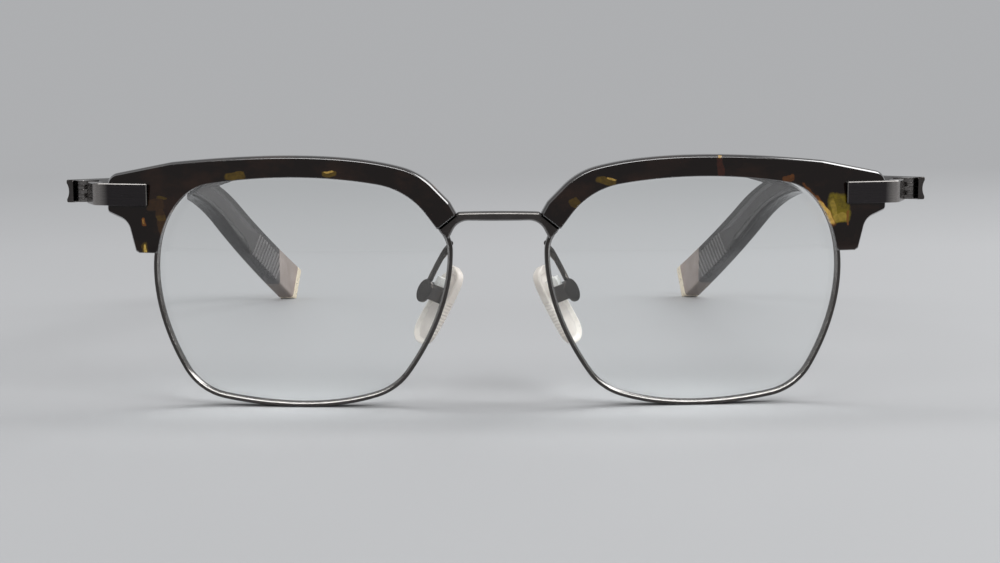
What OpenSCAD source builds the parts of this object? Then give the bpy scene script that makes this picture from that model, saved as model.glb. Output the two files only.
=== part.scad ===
// Browline eyeglasses: two metal rims under two acetate brow bars, and two temples that fold.
// Millimetres. The front faces -Y and +Z is up. The glasses stand on the rims and the temple tips.
// Each side is drawn for +X, and the other side is its mirror image.

/* [Lens] */
// Boxed width of one lens
lens_w = 50.5; // [47:0.5:54]
// Boxed height of one lens
lens_h = 39.6; // [37:0.2:42]
// Distance between the two lenses
lens_apart = 16.7; // [15:0.1:20]
// Thickness of a lens
lens_t = 1.4; // [1.2:0.1:1.8]
// Radius of the curved front
base_r = 132; // [115:1:180]
// Distance from the middle to each lens's centre of curvature, which sets the wrap
wrap_x = 25; // [23:0.5:30]
// Height of the front's centre of curvature above the middle of the lens
curve_up = 1.2; // [0:0.1:2]
// Play of the lens in its groove
lens_gap = 0.03; // [0.02:0.01:0.05]

/* [Lens outline] */
// Height of the upper nose bend below the top of the opening
nose_bend_drop = 11.1; // [10:0.1:12]
// Radius of the upper nose bend
nose_bend_r = 5.2; // [4:0.1:6]
// Distance of the top nose corner from the nose side
top_nose_in = 6.7; // [6:0.1:8]
// Height of the top nose corner below the top
top_nose_drop = 2.1; // [1.6:0.1:2.6]
// Radius of the top nose corner
top_nose_r = 13.2; // [10:0.1:14]
// Distance of the top crown from the nose side
top_crown_in = 25.7; // [24:0.1:28]
// Height of the top crown's pull above the top
top_crown = 1.2; // [0.9:0.1:1.6]
// Distance of the top temple corner from the temple side
top_temple_in = 6.7; // [6:0.1:8]
// Height of the top temple corner below the top
top_temple_drop = 1.5; // [1.2:0.1:2]
// Radius of the top temple corner
top_temple_r = 8.3; // [6:0.1:9]
// Pull of the temple side's crown beyond the temple side
side_crown = 6.2; // [5:0.1:7]
// Height of the temple side's crown below the top
side_crown_drop = 13.1; // [12:0.1:15]
// Distance of the low temple corner from the temple side
low_temple_in = 6.9; // [6:0.1:8]
// Height of the low temple corner above the bottom
low_temple_rise = 2.1; // [1.6:0.1:2.6]
// Radius of the low temple corner
low_temple_r = 9.4; // [8:0.1:10]
// Distance of the bottom crown from the nose side
low_crown_in = 23.1; // [21:0.1:26]
// Pull of the bottom crown below the bottom
low_crown = 1.5; // [1.1:0.1:1.9]
// Distance of the low nose corner from the nose side
low_nose_in = 9.2; // [8:0.1:10]
// Height of the low nose corner above the bottom
low_nose_rise = 2.7; // [2.2:0.1:3.2]
// Radius of the low nose corner
low_nose_r = 10.2; // [8:0.1:11]
// Pull of the nose side's crown towards the nose
nose_crown = 0.1; // [0:0.1:0.5]
// Height of the nose side's crown above the bottom
nose_crown_rise = 16; // [14:0.1:18]

/* [Rim] */
// Width of the rim's front face
rim_w = 0.9; // [0.8:0.05:1.2]
// Depth of the rim from front to back
rim_d = 2.8; // [2.4:0.1:3.2]
// Depth of the lens groove
groove_d = 0.4; // [0.3:0.05:0.5]
// Width of the cut that the rim lock closes
rim_cut = 0.15; // [0.1:0.05:0.3]

/* [Brow bar] */
// How far the brow bar stands in front of the rim
brow_front = 1.4; // [1.2:0.1:1.8]
// How far the brow bar reaches behind the rim's front
brow_back = 2.1; // [1.8:0.1:2.3]
// Play between the brow bar and what it covers
brow_gap = 0.05; // [0.03:0.01:0.1]
// Reach of the cut corner beyond the nose side of the opening
cut_out = 1.55; // [1.3:0.05:1.8]
// Height of the cut corner below the top of the opening
cut_drop = 6.3; // [5.8:0.1:6.8]
// Slope of the cut from the horizontal
cut_a = 37.5; // [34:0.5:42]
// Height of the nose corner below the top of the opening
brow_nose_drop = 4.35; // [4:0.05:4.8]
// Reach of the nose corner beyond the nose side
brow_nose_out = 0.45; // [0.2:0.05:0.7]
// Radius of the nose corner
brow_nose_r = 2; // [1:0.1:2.4]
// Distance of the shoulder from the nose side
shoulder_in = 4.6; // [4:0.1:5.2]
// Height of the shoulder above the top of the opening
shoulder_rise = 0.8; // [0.6:0.1:1.2]
// Radius of the shoulder
shoulder_r = 12.3; // [10:0.1:13]
// Distance of the brow's crown from the nose side
brow_crown_in = 20.7; // [19:0.1:23]
// Height of the brow's crown pull above the top of the opening
brow_crown = 5.15; // [4.8:0.05:5.6]
// Distance of the outer shoulder inside the temple side
outer_in = 2.4; // [1.8:0.1:3]
// Height of the outer shoulder above the top of the opening
outer_rise = 2.45; // [2.2:0.05:2.8]
// Radius of the outer shoulder
outer_r = 10; // [8:0.5:12]
// Reach of the brow's outer end beyond the temple side
brow_reach = 9.15; // [8.6:0.05:9.6]
// Height of the outer end's top above the top of the opening
end_top_rise = 0.15; // [0:0.05:0.3]
// Radius of the outer end's top corner
end_top_r = 2.2; // [1.8:0.1:2.6]
// Height of the outer end's bottom below the top of the opening
end_low_drop = 6.2; // [5.9:0.1:6.5]
// Radius of the outer end's bottom corner
end_low_r = 0.9; // [0.6:0.1:1.1]
// Reach of the hollow above the leg beyond the temple side
hollow_out = 5.4; // [5:0.1:5.8]
// Height of the hollow below the top of the opening
hollow_drop = 7.75; // [7.4:0.05:8.2]
// Radius of the hollow
hollow_r = 2.7; // [2:0.1:3]
// Reach of the leg's foot beyond the temple side
leg_out = 4; // [3.7:0.1:4.2]
// Height of the leg's foot below the top of the opening
leg_drop = 13; // [12:0.1:14]
// Radius of the foot's corner
leg_r = 0.5; // [0.3:0.1:0.7]

/* [Bridge] */
// How far the bridge stands in front of the rims
bridge_front = 1.2; // [1:0.1:1.3]
// Depth of the bridge bar
bridge_d = 1.9; // [1.6:0.1:2.2]
// Height of the bridge bar in the middle
bridge_h = 1.7; // [1.5:0.05:1.8]
// Length of the straight top, from the middle to the sweep
bridge_half = 6.9; // [6.6:0.05:7.1]
// Height of the bridge's sweep above its cut ends
bridge_rise = 0.3; // [0.15:0.05:0.35]
// Width of the band over the cut end of the brow
band_w = 1.0; // [0.8:0.05:1.3]
// Radius inside the sweep
sweep_r = 3; // [2.4:0.1:3.4]
// Length of the band along the cut, from side to side
band_l = 3.1; // [2.8:0.1:3.3]
// Reach of the band's inner corner, short of its end
band_in = 0.35; // [0.3:0.05:0.5]
// Length of the band's tail along the rim
tail_l = 2.1; // [1.8:0.1:2.4]
// Reach of the tail's tip beyond the cut corner
tail_out = 1.5; // [1.3:0.1:1.7]

/* [End piece] */
// Height of the plate
plate_h = 3.8; // [3.4:0.1:4]
// Thickness of the plate
plate_t = 1.3; // [1.1:0.1:1.5]
// How far the plate stands proud of the brow
plate_proud = 0.7; // [0.5:0.05:0.9]
// Length of the plate up to its bend
plate_l = 10.1; // [9.6:0.1:10.6]
// Reach of the plate's inner end beyond the temple side
plate_out = 1.65; // [1.4:0.05:2]
// Height of the plate's middle below the top of the opening
plate_drop = 3.1; // [2.9:0.1:3.3]
// Length of the return behind the bend
return_l = 5.8; // [5.4:0.1:6.2]
// Angle of the return from the straight-back direction
return_a = 24; // [20:1:28]
// Outer radius of the bend
bend_r = 2.4; // [1.2:0.1:2.8]

/* [Hinge] */
// Radius of the knuckles
knuckle_r = 1.15; // [1:0.05:1.25]
// Height of the five knuckles together
barrel_h = 3.8; // [3.4:0.1:4.2]
// Gap between neighbouring knuckles
knuckle_gap = 0.05; // [0.03:0.01:0.08]
// Radius of the hinge screw
pin_r = 0.55; // [0.45:0.05:0.6]
// Running play of the hinge screw in the temple's knuckles
pin_play = 0.05; // [0.02:0.01:0.08]
// Height of the hinge's middle above the plate's middle
hinge_rise = 0.2; // [0:0.05:0.3]
// Reach of the hinge axis beyond the end of the return
axis_out = 0.95; // [0.9:0.05:1.2]
// How far the hinge axis lies behind the end of the return
axis_back = 1; // [0.95:0.05:1.3]
// Thickness of a hinge leaf
leaf_t = 0.85; // [0.7:0.05:0.9]
// Length of a hinge leaf
leaf_l = 4.4; // [3.6:0.2:5]

/* [Temple] */
// Gap between the knuckles and the temple bar
bar_gap = 0.1; // [0.05:0.01:0.2]
// Height of the temple bar
bar_h = 4; // [3.6:0.1:4.4]
// Thickness of the temple bar
bar_t = 1.2; // [1.1:0.1:1.5]
// How far the bar's front end reaches ahead of the hinge axis
post_l = 1.4; // [1.3:0.1:1.8]
// Depth of the channel along the bar's outer face
channel_d = 0.4; // [0.3:0.05:0.5]
// Radius of the channel
channel_r = 3.2; // [2.8:0.1:3.6]
// Fall of the bar towards the back, in degrees
bar_fall = 2.6; // [2:0.1:3.2]
// Lean of the bar towards the head, in degrees
bar_lean = 1.9; // [1.5:0.1:2.5]
// Distance along Y from the hinge axis to the front of the tip sleeve
sleeve_at = 71.2; // [66:0.2:76]
// Distance along Y from the hinge axis to the foot of the tip
temple_l = 134.3; // [126:0.5:142]
// Distance along Y from the foot back to where the tip starts to turn inwards
bow_l = 65; // [58:1:70]
// How far the tip turns inwards at its foot
bow_in = 18; // [14:0.5:22]
// Exponent of the inward turn
bow_power = 1.7; // [1.5:0.1:2]

/* [Tip] */
// Thickness of the tip sleeve
sleeve_t = 4; // [3.6:0.1:4.4]
// Height of the sleeve at its front
sleeve_h = 4.4; // [4.2:0.1:5]
// Drop angle of the tip's underside
tip_low_a = 37.1; // [34:0.1:40]
// Drop angle of the tip's top edge
tip_top_a = 35.5; // [32:0.1:37]
// Height of the tip's end face
tip_h = 7.8; // [7:0.1:8.6]
// Lean of the end face from the vertical
tip_end_a = 18; // [14:1:22]
// Length of the bend behind the ear, each way from its corner
ear_l = 14; // [11:0.5:16]
// Depth of the flat under the tip
foot_d = 0.6; // [0.4:0.1:0.8]
// Thickness of the cap plate
cap_t = 1.8; // [0.6:0.1:2]
// Radius of the cap's stub
stub_r = 0.7; // [0.5:0.1:0.9]
// Length of the cap's stub
stub_l = 3.2; // [2.5:0.1:4]
// Thickness of the core blade
core_t = 1; // [0.8:0.1:1.2]
// Height of the core blade
core_h = 2.4; // [2:0.1:3]
// Height of the ribbed end of the core
rib_h = 5.4; // [4.8:0.1:5.6]
// Number of ribs
rib_count = 11; // [7:1:13]
// Distance between ribs
rib_pitch = 1.2; // [1:0.1:1.3]
// Width of one rib
rib_w = 0.6; // [0.4:0.05:0.7]
// Height of a rib above the blade
rib_d = 0.35; // [0.2:0.05:0.5]
// Distance from the last rib to the end of the tip
rib_end = 8.6; // [8:0.1:10]

/* [Nose pad] */
// Distance of the pad pivot from the middle
pad_x = 11.2; // [10.8:0.1:12]
// Distance of the pad pivot behind the front
pad_y = 8.6; // [8.2:0.1:9.4]
// Height of the pad pivot above the rest plane
pad_z = 19.1; // [18:0.1:20]
// Tilt of the pad seen from the front
pad_tilt = 27; // [24:1:30]
// Splay of the pad seen from above
pad_splay = 30; // [27:1:36]
// Length of the pad
pad_l = 15.2; // [14:0.1:16]
// Width of the pad
pad_w = 6.8; // [6.2:0.1:7.4]
// Thickness of the pad
pad_t = 2; // [1.8:0.1:2.4]
// How far the pad's middle lies below its pivot
pad_low = 1.65; // [1.2:0.05:2]
// Distance from the pivot to the pad's outer face
pad_off = 1.3; // [1.2:0.05:1.5]
// Height of the raised edge round the outer face
pad_lip = 0.3; // [0.2:0.05:0.4]
// Width of the raised edge
pad_lip_w = 0.7; // [0.5:0.1:0.9]
// Radius of the pad screw
pad_pin_r = 0.5; // [0.4:0.05:0.55]
// Radius of the pad screw's head
pad_head_r = 0.8; // [0.7:0.05:0.9]
// Height of the pad screw's head
pad_head_h = 0.35; // [0.3:0.05:0.5]
// Radius of the round disc on the pad arm
disc_r = 2.1; // [2:0.1:2.6]
// Height of the pad box
box_h = 2.8; // [2.4:0.1:3]
// Width of the pad box
box_w = 2.5; // [2.3:0.1:2.7]
// Thickness of the disc
disc_t = 0.4; // [0.35:0.05:0.6]
// How far the disc's middle lies below the pad screw
disc_drop = 0.4; // [0.2:0.1:0.6]
// Thickness of the pad box's walls
box_t = 0.5; // [0.4:0.05:0.6]
// Radius of the lug's round end
lug_r = 0.95; // [0.85:0.05:1.05]
// Room between the pad's face, the lug and the box, which lets the pad rock
box_gap = 0.35; // [0.3:0.05:0.45]
// Height of the lug's boss above the pad screw
boss_h = 2.9; // [2.4:0.1:3.1]
// Reach of the boss from the pad screw towards the disc
boss_out = 0.5; // [0.3:0.1:0.6]
// Side play of the lug in its box
lug_play = 0.1; // [0.05:0.01:0.12]
// Radius of the pad arm's wire
wire_r = 0.5; // [0.4:0.05:0.6]

/* [Fasteners] */
// Radius of the small screws
screw_r = 0.45; // [0.4:0.05:0.5]
// Radius of the small screws' heads
head_r = 0.85; // [0.75:0.05:0.9]
// Height of the small screws' heads
head_h = 0.5; // [0.4:0.05:0.6]
// Width of a screw slot
slot_w = 0.22; // [0.15:0.01:0.3]
// Depth of a screw slot
slot_d = 0.2; // [0.1:0.05:0.25]
// Play of a held screw in its hole
held_gap = 0.02; // [0.01:0.01:0.03]
// Radius of a brow tab
tab_r = 1.5; // [1.3:0.1:1.7]
// Distance of a brow tab's screw outside the rim
tab_out = 1.8; // [1.6:0.1:1.9]
// Height of the rim lock
lock_h = 4; // [3.6:0.1:4.4]
// Width of the rim lock
lock_w = 2.5; // [2.3:0.1:2.8]
// Depth of the rim lock
lock_d = 2.6; // [2.4:0.1:2.8]
// Height of the rim lock's middle below the top of the opening
lock_drop = 6.5; // [6:0.1:7]

/* [Hidden] */
$fn = 64;

// Points on one corner or crown, and a crown's mark in place of a radius
corner_n = 6;
crown_n = 8;
CROWN = -1;
// Long enough to pass through any piece, and a small overshoot for cuts
far = 40;
over = 1;
sphere_n = 128;
// Play between flat pieces that are joined for good
seat = 0.02;

// Curves

function unit(v) = v / norm(v);
function along(a, b, d) = a + unit(b - a) * d;
function turn(a, p, b) = acos(max(-1, min(1, unit(p - a) * unit(b - p))));

// A smooth curve from a to b that is pulled to p, and is a true arc where both reaches are equal
function conic(a, p, b, n) =
    let (pull = sqrt((1 + unit(p - a) * unit(b - p)) / 2))
    [for (i = [0 : n])
        let (t = i / n, u = 1 - t, wa = u * u, wp = 2 * pull * t * u, wb = t * t)
        (wa * a + wp * p + wb * b) / (wa + wp + wb)];

// How far a corner's curve reaches along its two sides
function reach(v, i) =
    let (n = len(v), r = v[i % n][2], a = v[(i + n - 1) % n], p = v[i % n], b = v[(i + 1) % n])
    r <= 0 ? 0 : r * tan(turn([a[0], a[1]], [p[0], p[1]], [b[0], b[1]]) / 2);

// A closed outline from [x, z, radius] corners. A crown fills all of both its sides.
function outline(v) =
    [for (i = [0 : len(v) - 1])
        let (
            n = len(v),
            a = [v[(i + n - 1) % n][0], v[(i + n - 1) % n][1]],
            p = [v[i][0], v[i][1]],
            b = [v[(i + 1) % n][0], v[(i + 1) % n][1]],
            crown = v[i][2] == CROWN,
            ra = crown ? norm(p - a) - reach(v, i + n - 1) : reach(v, i),
            rb = crown ? norm(b - p) - reach(v, i + 1) : reach(v, i),
            c = v[i][2] == 0 ? [p] : conic(along(p, a, ra), p, along(p, b, rb), crown ? crown_n : corner_n)
        )
        each crown ? [for (j = [1 : len(c) - 2]) c[j]] : c];

// Moves each point of a clockwise outline outwards by d
function grow(pts, d) =
    [for (i = [0 : len(pts) - 1])
        let (n = len(pts), t = unit(pts[(i + 1) % n] - pts[(i + n - 1) % n]))
        pts[i] + d * [-t[1], t[0]]];

function low(pts, k) = min([for (p = pts) p[k]]);
function high(pts, k) = max([for (p = pts) p[k]]);

// Fits an outline to an exact box
function fitted(pts, x0, x1, z0, z1) =
    let (a = low(pts, 0), b = high(pts, 0), c = low(pts, 1), d = high(pts, 1))
    [for (p = pts) [x0 + (p[0] - a) * (x1 - x0) / (b - a), z0 + (p[1] - c) * (z1 - z0) / (d - c)]];

// Lens opening, seen from the front

nose_x = lens_apart / 2 + groove_d;
side_x = lens_apart / 2 + lens_w - groove_d;
low_z = rim_w;
top_z = rim_w + lens_h - 2 * groove_d;
centre_z = (low_z + top_z) / 2 + curve_up;

bend_a = [nose_x, top_z - nose_bend_drop, nose_bend_r];
bend_b = [nose_x + top_nose_in, top_z - top_nose_drop, top_nose_r];
bend_d = [side_x - top_temple_in, top_z - top_temple_drop, top_temple_r];
opening = fitted(outline([
    bend_a,
    bend_b,
    [nose_x + top_crown_in, top_z + top_crown, CROWN],
    bend_d,
    [side_x + side_crown, top_z - side_crown_drop, CROWN],
    [side_x - low_temple_in, low_z + low_temple_rise, low_temple_r],
    [nose_x + low_crown_in, low_z - low_crown, CROWN],
    [nose_x + low_nose_in, low_z + low_nose_rise, low_nose_r],
    [nose_x - nose_crown, low_z + nose_crown_rise, CROWN]
]), nose_x, side_x, low_z, top_z);
rim_edge = grow(opening, rim_w);
lens_edge = grow(opening, groove_d - lens_gap);
groove_edge = grow(opening, groove_d);
rim_play_edge = grow(opening, rim_w + brow_gap);

// Brow outline, which crosses the opening that is cut from it

cut_x = nose_x - cut_out;
cut_z = top_z - cut_drop;
cut_l = far / 5;
brow_end_x = side_x + brow_reach;
brow_edge = outline([
    [cut_x, cut_z, 0],
    [nose_x - brow_nose_out, top_z - brow_nose_drop, brow_nose_r],
    [nose_x + shoulder_in, top_z + shoulder_rise, shoulder_r],
    [nose_x + brow_crown_in, top_z + brow_crown, CROWN],
    [side_x - outer_in, top_z + outer_rise, outer_r],
    [brow_end_x, top_z + end_top_rise, end_top_r],
    [brow_end_x, top_z - end_low_drop, end_low_r],
    [side_x + hollow_out, top_z - hollow_drop, hollow_r],
    [side_x + leg_out, top_z - leg_drop, leg_r],
    [side_x - rim_w, top_z - leg_drop, 0],
    [cut_x + cut_l * cos(cut_a), cut_z - cut_l * sin(cut_a), 0]
]);

// Y of the curved front at x, z, and p behind the rim's front face
function front_y(x, z, p) = base_r - sqrt(pow(base_r - p, 2) - pow(x - wrap_x, 2) - pow(z - centre_z, 2));

// End piece and hinge, seen from above

plate_x = side_x + plate_out;
plate_z = top_z - plate_drop;
plate_y = front_y(plate_x, plate_z, -brow_front) - plate_proud;
plate_a = atan2(front_y(brow_end_x, plate_z, -brow_front) - plate_proud - plate_y, brow_end_x - plate_x);
plate_dir = [cos(plate_a), sin(plate_a)];
return_dir = [sin(return_a), cos(return_a)];
plate_start = [plate_x, plate_y];
plate_bend = plate_start + plate_l * plate_dir;
return_end = plate_bend + return_l * return_dir;
plate_in = [-plate_dir[1], plate_dir[0]];
return_in = [-return_dir[1], return_dir[0]];
bend_half = turn(plate_start, plate_bend, return_end) / 2;
inner_bend = plate_bend + plate_t * [cos(plate_a + 90 + bend_half), sin(plate_a + 90 + bend_half)] / cos(bend_half);
inner_end = return_end + plate_t * return_in;
bend_reach = bend_r * tan(bend_half);
hinge_x = return_end[0] + axis_out;
hinge_y = return_end[1] + axis_back;
hinge_z = plate_z + hinge_rise;
knuckle_h = barrel_h / 5;

// Temple, with x as a function of y

bar_x = hinge_x + knuckle_r + bar_gap + bar_t / 2;
sleeve_y = hinge_y + sleeve_at;
foot_y = hinge_y + temple_l;
bow_y = foot_y - bow_l;
function bar_z(y) = hinge_z - (y - hinge_y) * tan(bar_fall);
function temple_x(y) =
    bar_x - (y - hinge_y) * tan(bar_lean) - (y > bow_y ? bow_in * pow((y - bow_y) / bow_l, bow_power) : 0);

// Side view of the tip. A line at a fall through a point, and where two such lines meet.
function line_z(p, a, y) = p[1] - (y - p[0]) * tan(a);
function meet(p, a, q, b) =
    let (y = (q[1] - p[1] + q[0] * tan(b) - p[0] * tan(a)) / (tan(b) - tan(a)))
    [y, line_z(p, a, y)];
foot = [foot_y, -foot_d];
end_dir = [sin(tip_end_a), cos(tip_end_a)];
end_top = foot + end_dir * (tip_h + foot_d);
sleeve_low = [sleeve_y, bar_z(sleeve_y) - sleeve_h / 2];
sleeve_top = [sleeve_y, bar_z(sleeve_y) + sleeve_h / 2];
ear_low = meet(sleeve_low, bar_fall, foot, tip_low_a);
ear_top = meet(sleeve_top, bar_fall, end_top, tip_top_a);
tip_a = (tip_low_a + tip_top_a) / 2;
tip_dir = [cos(tip_a), -sin(tip_a)];
tip_up = [sin(tip_a), cos(tip_a)];

// Tip side view with its end face moved back by d
function tip_side(d) = concat(
    [sleeve_low],
    conic(along(ear_low, sleeve_low, ear_l), ear_low, along(ear_low, foot, ear_l), crown_n),
    [along(foot, ear_low, d), along(end_top, ear_top, d)],
    conic(along(ear_top, end_top, ear_l), ear_top, along(ear_top, sleeve_top, ear_l), crown_n),
    [sleeve_top]);
mid_end = (foot + end_top) / 2;
mid_ear = (ear_low + ear_top) / 2;
mid_sleeve = (sleeve_low + sleeve_top) / 2;
rib_stop = along(mid_end, mid_ear, rib_end);
rib_start = along(rib_stop, mid_ear, rib_pitch * (rib_count - 1) + rib_w);
rib_neck = along(rib_start, mid_ear, rib_h);

// Core blade side view with play g
function core_side(g) =
    let (h = core_h / 2 + g, w = rib_h / 2 + g, e = tip_dir * g,
        bend = conic(along(mid_ear, mid_sleeve, ear_l), mid_ear, along(mid_ear, mid_end, ear_l), crown_n))
    concat(
        [mid_sleeve - [0, h]],
        [for (p = bend) p - h * tip_up],
        [rib_neck - h * tip_up, rib_start - w * tip_up, rib_stop + e - w * tip_up,
            rib_stop + e + w * tip_up, rib_start + w * tip_up, rib_neck + h * tip_up],
        [for (i = [len(bend) - 1 : -1 : 0]) bend[i] + h * tip_up],
        [mid_sleeve + [0, h]]);

// Pad frame: X points out from the pad to its arm, Y to the back, Z up along the pad
pad_at = [pad_x, pad_y, pad_z];
function pad_point(p) =
    let (
        c = cos(pad_splay), s = sin(pad_splay), tc = cos(pad_tilt), ts = -sin(pad_tilt),
        q = [p[0] * c + p[1] * s, p[1] * c - p[0] * s, p[2]])
    pad_at + [q[0] * tc + q[2] * ts, q[1], q[2] * tc - q[0] * ts];
box_in = box_w / 2 - box_t;
box_front = pad_off - box_gap;
box_base = lug_r + box_gap;
disc_x = box_base + box_t;
core_plate_t = pad_t * 0.3;
core_plate_x = -pad_off - pad_t / 2;
pad_edge = grow(outline([
    [-pad_w / 2 + 0.2, pad_l / 2 - 1.2, 2.6],
    [pad_w / 2 - 1, pad_l / 2, 2],
    [pad_w / 2, -pad_l / 2, 3],
    [-pad_w / 2, -pad_l / 2, 3]
]), 0);
pad_across_r = 9;
pad_along_r = 60;

// Rim lock and brow screws
lock_z = top_z - lock_drop;
lock_x = high([for (p = rim_edge) abs(p[1] - lock_z) < lens_h / 10 ? p : [0, 0]], 0) + head_r + brow_gap;
lock_y = front_y(lock_x, lock_z, rim_d / 2);
cut_side_x = side_x - lens_w / 5;
chamfer_dir = unit([bend_b[0] - bend_a[0], bend_b[1] - bend_a[1]]);
nose_tab_dir = [-chamfer_dir[1], chamfer_dir[0]];
nose_tab_base = [bend_a[0] + bend_b[0], bend_a[1] + bend_b[1]] / 2;
side_tab_dir = [cos(65), sin(65)];
side_tab_base = [bend_d[0], bend_d[1]];
tabs = [[nose_tab_base, nose_tab_dir], [side_tab_base, side_tab_dir]];
tab_gap = 0.03;
tab_strip = 0.8 * tab_r;
tab_seat = rim_d - 0.2;
brow_hold = 2.3;
plate_screws = [2.3, 6];
plate_screw_in = 0.75;
plate_screw_head = 3.5;

// Places the origin under the middle of the whole object
front_most = min([for (p = opening) if (p[1] > cut_z) front_y(p[0], p[1], -brow_front)]);
mid_y = (front_most + max(end_top[0], foot[0])) / 2;

// Helpers

module on_side(s) {
    translate([0, -mid_y, 0])
        if (s > 0)
            children();
        else
            mirror([1, 0, 0]) children();
}

// An outline seen from the front, from y0 to y1
module prism_y(pts, y0, y1) {
    translate([0, y1, 0]) rotate([90, 0, 0]) linear_extrude(y1 - y0) polygon(pts);
}

// An outline seen from the side, from x0 to x1
module prism_x(pts, x0, x1) {
    translate([x0, 0, 0]) rotate([90, 0, 90]) linear_extrude(x1 - x0) polygon(pts);
}

// The curved layer from p0 to p1 behind the rim's front face
module shell(p0, p1) {
    translate([wrap_x, base_r, centre_z])
        difference() {
            sphere(r = base_r - p0, $fn = sphere_n);
            sphere(r = base_r - p1, $fn = sphere_n);
        }
}

module curved(pts, p0, p1) {
    intersection() {
        prism_y(pts, -far / 4, far);
        shell(p0, p1);
    }
}

// A cylinder along Y from y0 to y1
module rod_y(x, z, r, y0, y1) {
    translate([x, y1, z]) rotate([90, 0, 0]) cylinder(r = r, h = y1 - y0);
}

module slot_z(x, y, z) {
    translate([x - far / 20, y - slot_w / 2, z - slot_d]) cube([far / 10, slot_w, slot_d + over]);
}

module plate_frame() {
    translate([plate_x, plate_y, plate_z]) rotate([0, 0, plate_a]) children();
}

module bar_frame() {
    translate([bar_x, hinge_y, hinge_z]) rotate([-bar_fall, 0, bar_lean]) children();
}

module pad_frame() {
    translate(pad_at) rotate([0, -pad_tilt, 0]) rotate([0, 0, -pad_splay]) children();
}

// A band that follows the temple's plan curve, from x0 to x1 beside its middle
module temple_band(x0, x1) {
    ys = [for (i = [0 : 2 * crown_n]) sleeve_y + (foot_y + over * 4 - sleeve_y) * i / (2 * crown_n)];
    translate([0, 0, -over])
        linear_extrude(far + 10)
            polygon(concat(
                [for (y = ys) [temple_x(y) + x0, y]],
                [for (i = [len(ys) - 1 : -1 : 0]) [temple_x(ys[i]) + x1, ys[i]]]));
}

// A smooth tube along points
module tube(path, r, sides) {
    n = len(path);
    ways = [for (i = [0 : n - 1]) unit(path[min(i + 1, n - 1)] - path[max(i - 1, 0)])];
    rings = [for (i = [0 : n - 1])
        let (u = unit(cross([1, 0, 0], ways[i])), w = cross(ways[i], u))
        for (k = [0 : sides - 1]) path[i] + r * (u * cos(360 * k / sides) + w * sin(360 * k / sides))];
    polyhedron(
        points = rings,
        faces = concat(
            [[for (k = [sides - 1 : -1 : 0]) k]],
            [for (i = [0 : n - 2]) for (k = [0 : sides - 1])
                let (a = i * sides + k, b = i * sides + (k + 1) % sides)
                each [[a, b, b + sides], [a, b + sides, a + sides]]],
            [[for (k = [0 : sides - 1]) (n - 1) * sides + k]]));
}

// Front pieces

module bridge() {
    band_z = cut_z - 2 * brow_gap - band_l * tan(cut_a);
    half = [
        [bridge_half, cut_z + bridge_rise, 0.5],
        [cut_x + band_l + brow_gap, band_z, 0],
        [cut_x + band_l - band_in, band_z - band_w * 0.7, 0],
        [cut_x + tail_out, band_z - tail_l, 2 * brow_gap],
        [cut_x - band_w / 5, cut_z - band_w * 1.15, sweep_r]
    ];
    edge = outline(concat(
        [[0, cut_z + bridge_rise + 0.2, CROWN]],
        half,
        [[0, cut_z + bridge_rise + 0.1 - bridge_h, CROWN]],
        [for (i = [len(half) - 1 : -1 : 0]) [-half[i][0], half[i][1], half[i][2]]]));
    join_x = cut_x + 0.1;
    bar_y = front_y(join_x, cut_z, -bridge_front);
    color("#3a3836")
        translate([0, -mid_y, 0]) {
            intersection() {
                prism_y(edge, bar_y, bar_y + bridge_d);
                translate([-join_x, -far, -over]) cube([2 * join_x, 2 * far, 2 * far]);
            }
            for (s = [-1, 1])
                mirror([s < 0 ? 1 : 0, 0, 0])
                    intersection() {
                        curved(edge, -bridge_front, -seat);
                        translate([join_x - 0.3, -far, -over]) cube([far, 2 * far, 2 * far]);
                    }
        }
}

module plate_recess() {
    plate_frame()
        translate([-brow_gap, -far / 4, -plate_h / 2 - brow_gap])
            cube([far, far / 4 + plate_t + brow_gap, plate_h + 2 * brow_gap]);
}

module brow() {
    color("#241613")
        difference() {
            curved(brow_edge, -brow_front, brow_back);
            prism_y(opening, -far / 4, far);
            intersection() {
                prism_y(rim_play_edge, -far / 4, far);
                translate([wrap_x, base_r, centre_z]) sphere(r = base_r + brow_gap, $fn = sphere_n);
            }
            plate_recess();
            plate_frame()
                for (x = plate_screws) {
                    rod_y(x, 0, screw_r + held_gap, 0, far / 2);
                    rod_y(x, 0, head_r + brow_gap, plate_screw_head, far / 2);
                }
            translate([lock_x - lock_w, lock_y - lock_d / 2 - brow_gap, lock_z - lock_h / 2 - brow_gap])
                cube([1.5 * lock_w + brow_gap, far, lock_h + 2 * brow_gap]);
            for (t = tabs)
                tab_bore(t, tab_seat - brow_hold, far / 2, screw_r + held_gap);
        }
}

module rim() {
    color("#4a4744")
        difference() {
            curved(rim_edge, 0, rim_d);
            prism_y(opening, -far / 4, far);
            curved(groove_edge, (rim_d - lens_t) / 2 - lens_gap, (rim_d + lens_t) / 2 + lens_gap);
            translate([cut_side_x, -far / 4, lock_z - rim_cut / 2]) cube([far, far, rim_cut]);
        }
}

module lens() {
    color("#dfe8ee", 0.3)
        curved(lens_edge, (rim_d - lens_t) / 2, (rim_d + lens_t) / 2);
}

module lock_half(z0, z1) {
    translate([lock_x - lock_w, lock_y - lock_d / 2, z0]) cube([1.5 * lock_w, lock_d, z1 - z0]);
}

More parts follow.
